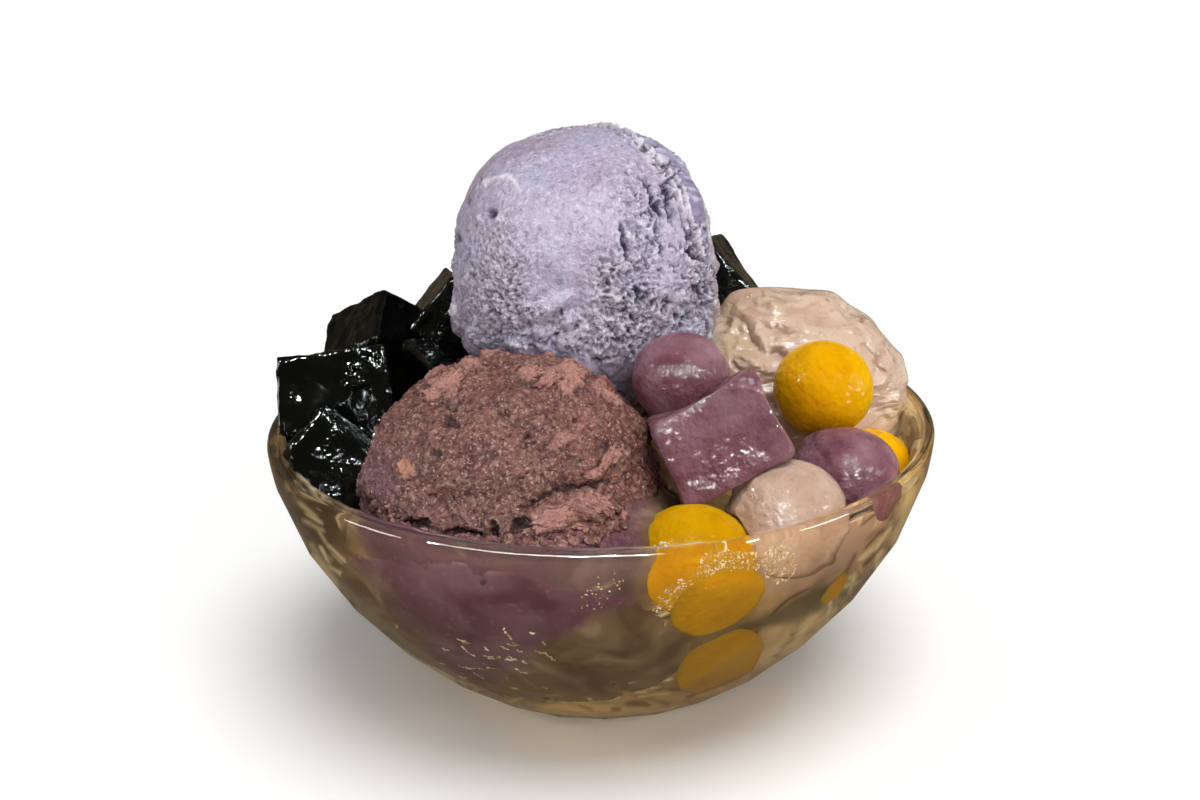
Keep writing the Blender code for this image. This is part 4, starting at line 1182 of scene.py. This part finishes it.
cutPieces = {  # middle, size and turn in degrees, as the solids have them
    "jellyCubes": (
        ((-63.0, 3.5, 69.5), (28.0, 23.0, 24.0), (-20.0, -7.0, 0.0)),
        ((-56.0, 26.0, 73.0), (21.0, 22.0, 24.0), (-34.0, 38.0, 32.0)),
        ((-62.5, -24.0, 63.5), (21.0, 18.0, 20.0), (-22.0, 40.0, -8.0)),
        ((-35.5, 27.0, 82.0), (18.0, 20.0, 20.0), (-14.0, -47.0, 20.0)),
        ((-38.0, 9.0, 70.0), (20.0, 20.0, 20.0), (10.0, 8.0, 30.0)),
        ((-60.0, 6.0, 47.0), (22.0, 22.0, 20.0), (5.0, 12.0, 8.0)),
        ((-42.0, 45.0, 57.0), (22.0, 22.0, 22.0), (8.0, -6.0, 38.0)),
        ((-17.0, 52.0, 78.5), (23.0, 22.0, 22.0), (14.0, 10.0, 22.0)),
        ((7.0, 52.0, 79.5), (22.0, 23.0, 22.0), (-10.0, 12.0, -14.0)),
        ((28.8, 46.0, 82.5), (21.5, 22.0, 22.0), (-18.0, 48.0, -24.0)),
        ((-15.5, 53.0, 56.5), (22.0, 22.0, 21.0), (-4.0, 5.0, 15.0)),
        ((10.5, 53.0, 57.0), (22.0, 22.0, 21.0), (4.0, -5.0, -12.0)),
        ((35.0, 46.0, 58.5), (22.0, 21.0, 22.0), (6.0, 5.0, -36.0)),
    ),
    "purpleBlock": ((25.8, -41.0, 75.0), (28.0, 20.0, 22.0), (-18.0, -25.0, 6.0)),
    "knifeSlip": 0.9, "knifeGrain": 3.7, "cubeEdge": 1.2, "blockEdge": 3.6, "blockSeed": 4.4,
    "cubeSurface": (26, 0.3, 1.1), "blockSurface": (50, 1.7, 0.7),  # faces along a side, its sag, its waves
    "cubeSlack": (0.9, 0.5), "blockSlack": (1.6, 0.8),  # as the balls' slack
    # how far the whole block is darkened
    "blockDarkening": 0.12,
    "peak": (1, -1, 1), "peakPull": 2.2,  # the corner of the block that stands up in front
}


def cutBlock(size, edge, seed, count, sag, wave):  # a cut block's points about its middle, and its faces
    grid, faces = cubeGrid(np.sin(np.linspace(-1, 1, count + 1) * math.pi / 2))
    half = np.array(size) / 2
    slip = np.zeros_like(grid)
    for tip in product((-1, 1), repeat=3):
        share = np.prod((1 + grid * tip) / 2, axis=1)
        stray = Vector(tip).normalized()
        for axis in range(3):
            grainAt = stray * cutPieces["knifeGrain"] + Vector((1, 0.37, -1)) * (seed + 9 * axis)
            slip[:, axis] += share * 2 * cutPieces["knifeSlip"] * noise.noise(grainAt)
    core = np.clip(grid * half, edge - half, half - edge)
    out = grid * half - core
    out /= np.maximum(np.linalg.norm(out, axis=1), 1e-9)[:, None]
    points = core + out * edge + slip
    crown = np.prod(np.where(np.abs(grid) > 0.999, 1.0, 1 - grid ** 2), axis=1)
    waves = cloudy(points + seed * 37, 7.0, 261, 3)
    return points + out * (waves * wave - crown * sag)[:, None], faces


def blackGrassJelly():
    # Mesona herb boiled with starch, set firm and cut by knife: nearly black, with faint brown patches
    # painted in for light shining through it. The eye gets wavy wet faces, with lamps mirrored as blobs and
    # as sparks on its beads.
    made, tree, place = newMaterial("setGrassJelly")
    clouds = addNode(tree, "TexNoise", links={"Vector": place, "Scale": 1 / 0.010, "Detail": 3.0})
    color = addNode(tree, "ValToRGB", links={"Fac": clouds},
                    stops=[(0.40, "#040504"), (0.60, "#090a09"), (0.76, "#1d1812")])
    waves = addNode(tree, "TexNoise", links={
        "Vector": place, "Scale": 1 / 0.0085, "Detail": 1.5, "Distortion": 0.6})
    spots = addNode(tree, "TexNoise", links={"Vector": place, "Scale": 1 / 0.008, "Detail": 1.0})
    wetZones = addNode(tree, "ValToRGB", links={"Fac": spots}, stops=[(0.50, 0.0), (0.62, 1.0)])
    beads = addNode(tree, "TexNoise", links={"Vector": place, "Scale": 1 / 0.0013, "Detail": 1.0})
    height = addNode(tree, "Math", {"operation": "MULTIPLY"}, {0: beads, 1: wetZones})
    relief = addNode(tree, "Bump", links={"Strength": 0.6, "Distance": 1.3 * mm, "Height": waves})
    wet = addNode(tree, "Bump", links={
        "Strength": 0.7, "Distance": 0.7 * mm, "Height": height, "Normal": relief})
    return surfaced(made, addNode(tree, "BsdfPrincipled", links={
        "Base Color": color, "Roughness": 0.09, "IOR": 1.36, "Specular IOR Level": 0.6,
        "Specular Tint": toLinear("#dbe8e8"), "Normal": wet}))


def setDown(points, place, turn, nodeName, slack):  # turned and put in place, within its CAD solid
    turned = np.array(Euler([math.radians(angle) for angle in turn]).to_matrix())
    return keepToSolid(points @ turned.T, place, nodeName, *slack)[0] + place


def makeCutPieces():
    look, jelly = cutPieces, blackGrassJelly()
    for number, (place, size, turn) in enumerate(look["jellyCubes"], 1):
        points, faces = cutBlock(size, look["cubeEdge"], number, *look["cubeSurface"])
        points = keepInGlass(setDown(points, place, turn, f"jelly_cube_{number}", look["cubeSlack"]))
        standIn(makePiece(f"jellyCube{number}", points, faces, jelly), "grass_jelly", f"jelly_cube_{number}")
    place, size, turn = look["purpleBlock"]
    points, faces = cutBlock(size, look["blockEdge"], look["blockSeed"], *look["blockSurface"])
    nearPeak = np.prod(np.clip(0.5 + points / np.array(size) * look["peak"], 0, 1), axis=1) ** 2
    points += nearPeak[:, None] * look["peakPull"] * np.array(look["peak"])
    points = setDown(points, place, turn, "purple_block", look["blockSlack"])
    piece = makePiece("purpleBlock", points, faces, bpy.data.materials["purpleBoiledDough"],
                      {"syrupAndShade": np.full(len(points), look["blockDarkening"])})
    standIn(piece, "purple_dough", "purple_block")


print("grass jelly and the cut block")
makeCutPieces()


syrupIce = {
    "voxel": 1.9, "grain": 2.4, "grainHeight": 0.7,
    "film": 1.3,  # thickness of the syrup that stands between the filling and the glass
    "filmFoot": 8.0, "frontColumns": 480, "backColumns": 60, "outerRows": 104, "innerRows": 8,
    # how high the syrup stands at the glass, by the angle from the right hand side
    "filmTop": ((0, 30, 60, 100, 140, 170, 190, 220, 250, 285, 300, 330, 345, 360),
                (63.0, 60.5, 60, 61, 63, 65.6, 66.2, 66.4, 66.4, 65.8, 63.0, 61.8, 62.4, 63.0)),
    # pale drifts, painted shade over the dark syrup, and pinkish drifts: middle, half sizes, turn, how strong
    "pale": (((805, 650), (70, 44), -35, 1.0), ((600, 706), (190, 12), 0, 0.95),
             ((750, 690), (90, 28), -20, 0.9), ((440, 672), (60, 14), 36, 0.8),
             ((775, 610), (30, 12), -10, 0.4)),
    "shade": (((322, 520), (44, 30), 38, 0.95), ((292, 505), (20, 66), -20, 0.9),
              ((360, 590), (16, 50), -38, 0.6), ((560, 655), (120, 30), 0, 0.6),
              ((786, 602), (72, 10), -24, 0.75), ((660, 640), (60, 14), -10, 0.5),
              ((372, 620), (40, 20), 45, 0.35), ((900, 470), (10, 40), 25, 0.4),
              ((800, 470), (60, 8), -30, 0.3), ((620, 578), (26, 44), 8, 0.6)),
    "blush": (((842, 530), (56, 34), -30, 0.95), ((790, 560), (50, 26), -10, 0.8)),
    # pale streaks of painted light and dark streaks of painted shade at the facets' edges: their lines and
    # widths
    "facetLight": (([(311, 546), (322, 560), (338, 586)], 4.5), ([(322, 540), (330, 560)], 2.0),
              ([(338, 566), (372, 592), (403, 616)], 1.5), ([(409, 619), (446, 648), (478, 671)], 1.4),
              ([(905, 480), (893, 520), (880, 545)], 6.0), ([(918, 470), (905, 505)], 3.0),
              ([(873, 544), (866, 552), (861, 566)], 2.4), ([(868, 575), (852, 604), (838, 624)], 2.4),
              ([(300, 520), (312, 545)], 1.8), ([(420, 655), (452, 672)], 2.2),
              ([(884, 520), (862, 548)], 2.0), ([(800, 650), (812, 610), (818, 590)], 1.6),
              ([(716, 700), (790, 690), (842, 648)], 1.8), ([(590, 622), (636, 618), (668, 604)], 1.4),
              ([(478, 700), (560, 712), (640, 712)], 2.2)),
    "facetShade": (([(875, 539), (862, 551), (848, 563)], 2.2), ([(886, 553), (874, 566), (864, 578)], 2.0),
               ([(864, 576), (857, 594), (853, 608)], 1.6), ([(900, 500), (886, 530), (882, 553)], 1.8),
               ([(822, 600), (830, 620), (850, 622)], 1.2), ([(756, 612), (776, 594), (800, 582)], 1.2),
               ([(284, 480), (300, 530), (318, 556)], 2.4), ([(340, 586), (368, 612), (396, 640)], 1.8),
               ([(404, 622), (440, 660), (470, 690)], 1.6), ([(356, 480), (352, 510), (346, 540)], 1.2)),
    # short strokes of painted light and shade where the facets bend what lies behind: middle, half sizes,
    # slope, its spread, how many
    "strokes": (((312, 545), (30, 60), 52, 16, 60), ((372, 625), (50, 44), 40, 20, 60),
                ((470, 680), (70, 22), 18, 16, 46), ((880, 530), (26, 56), -58, 16, 70),
                ((850, 600), (34, 40), -52, 20, 60), ((790, 655), (60, 34), -36, 22, 60),
                ((620, 690), (110, 22), -4, 14, 50), ((600, 620), (60, 36), -10, 24, 34),
                ((470, 600), (70, 50), 20, 30, 30)),
    "longestStroke": 34, "paleStrokes": 0.42,  # how many of them are pale
    "bowlLean": (480, 620, 10),  # the photographed bowl leans a little: from where to where down, and how far
    # painted shade darkens the syrup under the brink between these
    "brinkLeft": (372, 344), "brinkRight": (850, 880),  # where the syrup under the brink is dark
    "cutLeft": (430, 340), "cutRight": (770, 850), "cutLow": (650, 690),  # where the facets cut up the syrup
}


def syrupSoakedIce():
    # Shaved ice soaked with brown sugar syrup. Against the glass the eye gets olive-brown syrup with pale
    # drifts, cut into straight-edged slices of painted light and shade where the facets bend it, with streaks
    # of painted light and shade along the facets' edges and painted shade in its dim places, and on top wet,
    # half melted grains.
    made, tree, place = newMaterial("syrupSoakedShavedIce")
    clouds = addNode(tree, "TexNoise", links={
        "Vector": place, "Scale": 1 / 0.022, "Detail": 4.0, "Distortion": 0.7})
    color = addNode(tree, "ValToRGB", links={"Fac": clouds},
                    stops=[(0.34, "#6a5231"), (0.46, "#886d43"), (0.56, "#a4855a"), (0.70, "#d4b47e")])
    mash = addNode(tree, "ValToRGB", links={"Fac": clouds},
                   stops=[(0.36, "#4f3744"), (0.48, "#593c4d"), (0.58, "#54414b"), (0.70, "#6b5564")])
    grains = addNode(tree, "TexNoise", links={"Vector": place, "Scale": 1 / 0.0024, "Detail": 3.0})
    # painted light on the grains' tops, where their bumps rise
    light = addNode(tree, "ValToRGB", links={"Fac": grains}, stops=[(0.58, 0.0), (0.74, 0.35)])
    slant = addNode(tree, "Mapping", links={
        "Vector": place, "Rotation": (0.5, 0.9, 0.4), "Scale": (1.0, 0.55, 1.35)})
    slices = addNode(tree, "TexVoronoi", links={"Vector": slant, "Scale": 1 / 0.0062})
    tone = addNode(tree, "SeparateColor", links={"Color": slices.outputs["Color"]}).outputs["Red"]
    # painted light and shade in the slices that the facets cut
    sliceLight = addNode(tree, "ValToRGB", links={"Fac": tone}, stops=[(0.62, 0.0), (0.95, 0.6)])
    sliceShade = addNode(tree, "ValToRGB", links={"Fac": tone}, stops=[(0.08, 0.4), (0.36, 0.0)])
    cut = addNode(tree, "Attribute", {"attribute_name": "cut"}).outputs["Fac"]
    sliceLight, sliceShade = (addNode(tree, "Math", {"operation": "MULTIPLY"}, {0: share, 1: cut})
                   for share in (sliceLight, sliceShade))
    color = layered(tree, color, [
        (light, "#b9a586"), ("pale", "#e6cb9c"), ("blush", "#aa8c7e"), ("smeared", mash), (sliceLight, "#d9c49a"),
        (sliceShade, "#40331f"), ("shade", "#2c2216"), ("facetShade", "#33261a"), ("facetLight", "#e8d6b0")])
    relief = addNode(tree, "Bump", links={"Strength": 0.5, "Distance": 0.5 * mm, "Height": grains})
    return surfaced(made, addNode(tree, "BsdfPrincipled", links={
        "Base Color": color, "Roughness": 0.25, "IOR": 1.33, "Specular IOR Level": 0.15, "Normal": relief,
        "Subsurface Weight": 0.2, "Subsurface Radius": (1.0, 0.8, 0.5), "Subsurface Scale": 2.0 * mm}))


# the syrup's marks: pale drifts, painted shade, pinkish drifts, and painted light and shade where the facets
# cut up what lies behind
def syrupMarks(points, fine):  # where syrup is pale or dark, and where the facets cut up what lies behind
    look, straight = syrupIce, np.array(toPixels(points))
    pixels = straight.copy()
    start, end, far = look["bowlLean"]
    pixels[0] -= far * fade(pixels[1], start, end)
    waver = 1.5 * np.stack([cloudy(points, 7.0, 291 + axis, 2) for axis in range(3)], 1)
    px, py = pixels + np.array(toPixels(points + waver)) - straight
    aside, height = points[:, 0], points[:, 2]
    front = fade(-points[:, 1], -14, 2)
    deep = (1 - front) * fade(height, 12, 26)  # beyond the flanks, seen bent round by the glass
    # painted shade under the brink and on the left beyond the flanks; painted light on the right beyond them
    brink = fade(px, *look["brinkLeft"]) + 0.45 * fade(px, *look["brinkRight"])
    brink = 0.75 * fade(height, 58, 63) * brink
    # paler towards the bottom
    marks = {"pale": 0.85 * fade(height + 14 * cloudy(points, 16, 281, 3), 14, 5) + 0.05,
             "shade": np.maximum(brink, 0.8 * deep * fade(-aside, 20, 45)), "blush": 0 * px,
             "facetLight": 0.35 * deep * fade(aside, 20, 45), "facetShade": 0 * px}
    for mark in ("pale", "shade", "blush"):
        for place, radii, turn, amount in look[mark]:
            marks[mark] = np.maximum(marks[mark], amount * front * spot((px, py), place, radii, turn, 0.6))
    # streaks of painted light and shade along the facets' edges, and strokes of it where the facets bend what
    # lies behind
    lines = [(mark, line, wide, amount) for mark, amount in (("facetLight", 0.95), ("facetShade", 0.85))
             for line, wide in look[mark]]
    draw = np.random.default_rng(297)
    for region in look["strokes"] if fine else ():
        for line in strewn(draw, *region, look["longestStroke"]):
            mark = "facetLight" if draw.random() < look["paleStrokes"] else "facetShade"
            lines.append((mark, line, draw.uniform(0.9, 2.8), draw.uniform(0.25, 0.8)))
    for mark, line, wide, amount in lines:
        marks[mark] = np.maximum(marks[mark], amount * front * crackAt(pixels, line, wide))
    flanks = fade(px, *look["cutLeft"]) + fade(px, *look["cutRight"]) + 0.7 * fade(py, *look["cutLow"])
    flanks = np.clip(flanks, 0, 1)
    smeared = front * (height > 24) * purpleZone(px, py, 10 * cloudy(points, 9.0, 191, 3))
    marks["cut"] = 0.9 * (front * flanks + (1 - front) * 0.8) * (1 - smeared) * (1 - marks["blush"])
    marks["cut"] *= 1 - 0.6 * np.clip(marks["pale"] - 0.5, 0, 1)
    for mark, hidden in (("shade", 0.6), ("facetLight", 0.75), ("facetShade", 0.5)):
        marks[mark] *= 1 - hidden * smeared
    return marks | {"smeared": smeared * 0.9}


def syrupFilm(material):  # a thin shell: up its outer side, over a round edge and down its inner side
    look = syrupIce
    angles = np.radians(np.concatenate([np.linspace(172, 368, look["frontColumns"], endpoint=False),
                                        np.linspace(8, 172, look["backColumns"], endpoint=False)]))
    brink = np.stack([np.cos(angles), np.sin(angles), 0 * angles], 1) * 70
    tops = np.interp(np.degrees(angles) % 360, *look["filmTop"]) + 0.7 * cloudy(brink, 9.0, 295, 3)
    rows = []
    for count, inset, lower, order in ((look["outerRows"], bowlShape["wall"] - 0.12, 0, 1),
                                       (look["innerRows"], bowlShape["wall"] + look["film"], 0.5, -1)):
        radii, rises = insideProfile(inset, look["filmFoot"] - 2)
        for part in np.linspace(0, 1, count)[::order]:
            height = look["filmFoot"] + (tops - look["filmFoot"] - lower) * part
            radius = np.interp(height, rises, radii)
            rows.append(np.stack([radius * np.cos(angles), radius * np.sin(angles), height], 1))
    points = np.concatenate(rows)
    number = np.arange(len(points)).reshape(len(rows), len(angles))
    beside, above = np.roll(number, -1, 1), np.roll(number, -1, 0)
    faces = np.stack([number, beside, np.roll(beside, -1, 0), above], -1).reshape(-1, 4)
    return makePiece("syrupFilm", points, faces, material, syrupMarks(points, True))


def makeSyrupIce():
    look = syrupIce
    piece, points, normals = softCopy("syrupIce", "shaved_ice_base", look["voxel"])
    near = pebbly(points, look["grain"], 271)[0]
    upward = fade(normals[:, 2], 0.1, 0.6)
    rise = upward * (look["grainHeight"] * (0.5 - near) - 0.2 + 0.4 * cloudy(points, 6, 275))
    points = meetGlass(points + normals * rise[:, None], 2.2, 0.05)
    ice = syrupSoakedIce()
    reshape(piece, points, ice, syrupMarks(points, False))
    standIn(piece, "syrup_ice", "shaved_ice_base")
    standIn(syrupFilm(ice), "syrup_ice")


print("shaved ice in syrup")
makeSyrupIce()


foam = {
    "bubble": (0.12, 0.32),  # radii
    # patches between the balls: middle, half sizes, turn, how many; and rows on the mash, with so many in one
    "patches": (((690, 582), (46, 13), -32, 620), ((730, 558), (32, 12), 0, 560),
                ((776, 561), (17, 19), 0, 420), ((663, 548), (9, 6), 0, 40), ((602, 588), (26, 14), -40, 40)),
    "rows": ((498, 648), (54, 20), 16, 16, 30, 13), "inRow": 11, "sag": 2.2, "stray": 0.4,
    "sight": (300, 460, 1600),  # from where to where the glass is looked for along a line of sight, in steps
}


def foamedSyrup():
    # Air bubbles in syrup: tiny pale beads, each with a glint.
    made, tree, place = newMaterial("syrupFoam")
    tints = addNode(tree, "TexNoise", links={"Vector": place, "Scale": 1 / 0.0015})
    color = addNode(tree, "ValToRGB", links={"Fac": tints},
                    stops=[(0.38, "#b08a48"), (0.5, "#d8bf8e"), (0.62, "#f6e8d2")])
    return surfaced(made, addNode(tree, "BsdfPrincipled", links={
        "Base Color": color, "Roughness": 0.15, "IOR": 1.33}))


def makeFoam():  # bubbles that the syrup left at the glass
    draw = np.random.default_rng(301)
    ball = bmesh.new()
    bmesh.ops.create_icosphere(ball, subdivisions=1, radius=1.0)
    corners = np.array([v.co for v in ball.verts])
    sides = np.array([[v.index for v in face.verts] for face in ball.faces])
    ball.free()
    spots = []
    for place, halves, turn, count in foam["patches"]:
        lean = math.radians(turn)
        for _ in range(count):
            angle, out = draw.uniform(0, math.tau), math.sqrt(draw.random())
            x, y = halves[0] * out * math.cos(angle), halves[1] * out * math.sin(angle)
            spots.append((place[0] + x * math.cos(lean) - y * math.sin(lean),
                          place[1] + x * math.sin(lean) + y * math.cos(lean)))
    for (startX, startY), (endX, endY) in strewn(draw, *foam["rows"]):
        for share in np.linspace(0, 1, foam["inRow"]):
            sag = foam["sag"] * share * (1 - share)
            spots.append((startX + (endX - startX) * share + draw.normal() * foam["stray"],
                          startY + (endY - startY) * share + sag + draw.normal() * foam["stray"]))
    radii, rises = insideProfile(bowlShape["wall"] - 0.1, bowlShape["floor"])
    points, faces = [], []
    for place in spots:
        eye, ray = sightLine(*place)
        line = eye + ray * np.linspace(*foam["sight"])[:, None]
        inside = np.interp(line[:, 2], rises, radii) - np.hypot(line[:, 0], line[:, 1])
        at = line[np.argmax(inside > 0)]
        points.append(corners * draw.uniform(*foam["bubble"]) + at)
        faces.append(sides + len(corners) * (len(points) - 1))
    standIn(makePiece("syrupFoam", np.concatenate(points), np.concatenate(faces), foamedSyrup()), "syrup_ice")


print("foam at the glass")
makeFoam()


stageLook = {
    "floor": "#f6f6f6", "world": "#f5f4f2", "worldStrength": 0.50,
    "mirrored": "#e2cdac", "mirroredStrength": 0.18,  # the room as wet and glassy skins mirror it
    "suns": {  # where they stand, the angle they spread over, and their strength
        "overheadKey": ((0.16, -0.24, 1.0), 36, 2.08),
        "frontFill": ((0.6, -1.0, 0.14), 60, 1.15),
    },
    "lamps": {  # place and aim in mm, size in mm, watts
        "leftGlint": ((-420, -260, 420), (-30, 0, 70), 46, 4.6),
        "rightGlint": ((380, -330, 360), (40, -10, 60), 36, 1.9),
        "frontGlint": ((-90, -560, 430), (20, -20, 60), 40, 3.2),
        "sideGlint": ((120, -540, 500), (20, -20, 60), 38, 3.0),
        "highGlint": ((20, -400, 690), (20, -20, 60), 44, 4.2),
        "leftStrip": ((-520, -160, 130), (0, -20, 40), 230, 1.5),
        "rightStrip": ((520, -190, 150), (0, -20, 40), 200, 1.5),
        "rimStrip": ((-150, -430, 560), (0, -80, 66), (820, 200), 10.0),
    },
    "glassOnly": ("rimStrip",),  # lamps that light nothing but the glass
}


def makeCamera(scene):
    eye, right, up, look = cameraAxes()
    lens = bpy.data.cameras.new("camera")
    lens.sensor_width = photoView["sensor"]
    lens.lens = photoView["lens"]
    camera = bpy.data.objects.new("camera", lens)
    camera.matrix_world = Matrix.Translation(Vector(eye) * mm) @ Matrix(
        [[right[i], up[i], -look[i]] for i in range(3)]).to_4x4()
    scene.collection.objects.link(camera)
    scene.camera = camera


def makeRoom(scene):
    world = bpy.data.worlds.new("softRoom")
    world.use_nodes = True
    tree = world.node_tree
    mirrored = addNode(tree, "LightPath").outputs["Is Glossy Ray"]
    tone = layered(tree, toLinear(stageLook["world"]), [(mirrored, stageLook["mirrored"])])
    strength = addNode(tree, "MapRange", links={
        "Value": mirrored, "To Min": stageLook["worldStrength"], "To Max": stageLook["mirroredStrength"]})
    room = addNode(tree, "Background", links={"Color": tone, "Strength": strength})
    tree.links.new(room.outputs[0], tree.nodes["World Output"].inputs["Surface"])
    scene.world = world


def makeLamps(scene):
    for name, (stand, spread, strength) in stageLook["suns"].items():
        light = bpy.data.lights.new(name, "SUN")
        light.angle = math.radians(spread)
        light.energy = strength
        sun = bpy.data.objects.new(name, light)
        sun.visible_glossy = False  # too broad for a wet skin's sharp sparks, which the lamps below give
        sun.rotation_euler = Vector(stand).to_track_quat("Z", "Y").to_euler()
        scene.collection.objects.link(sun)
    glass = bpy.data.collections.new("glassOnly")
    glass.objects.link(bpy.data.objects["glassBowl"])
    for name, (place, aim, size, watts) in stageLook["lamps"].items():
        light = bpy.data.lights.new(name, "AREA")
        light.shape = "ELLIPSE"
        light.size, light.size_y = np.broadcast_to(size, 2) * mm
        light.energy = watts
        lamp = bpy.data.objects.new(name, light)
        lamp.location = Vector(place) * mm
        lamp.visible_diffuse = False  # it only shines in what is wet
        lamp.rotation_euler = (Vector(aim) - Vector(place)).to_track_quat("-Z", "Y").to_euler()
        scene.collection.objects.link(lamp)
        if name in stageLook["glassOnly"]:
            lamp.light_linking.receiver_collection = glass


def paleFloor():
    # Matt white card with a faint tooth, which the eye hardly sees but for the bowl's soft shadow.
    made, tree, place = newMaterial("paleFloor")
    grain = addNode(tree, "TexNoise", links={"Vector": place, "Scale": 1 / 0.004, "Detail": 2.0})
    relief = addNode(tree, "Bump", links={"Strength": 0.1, "Distance": 0.1 * mm, "Height": grain})
    return surfaced(made, addNode(tree, "BsdfPrincipled", links={
        "Base Color": toLinear(stageLook["floor"]), "Roughness": 0.7, "Specular IOR Level": 0.0,
        "Normal": relief}))


def makeStage():
    scene = bpy.context.scene
    scene.view_settings.view_transform = "Standard"
    makeCamera(scene)
    makeRoom(scene)
    makeLamps(scene)
    shape = bmesh.new()
    bmesh.ops.create_grid(shape, x_segments=8, y_segments=8, size=3.0)
    floor = cleanObject("floor", shape)
    floor.data.materials.append(paleFloor())
    floor.visible_glossy = False  # what shines mirrors the lamps and not the floor


print("camera, lights and floor")
makeStage()
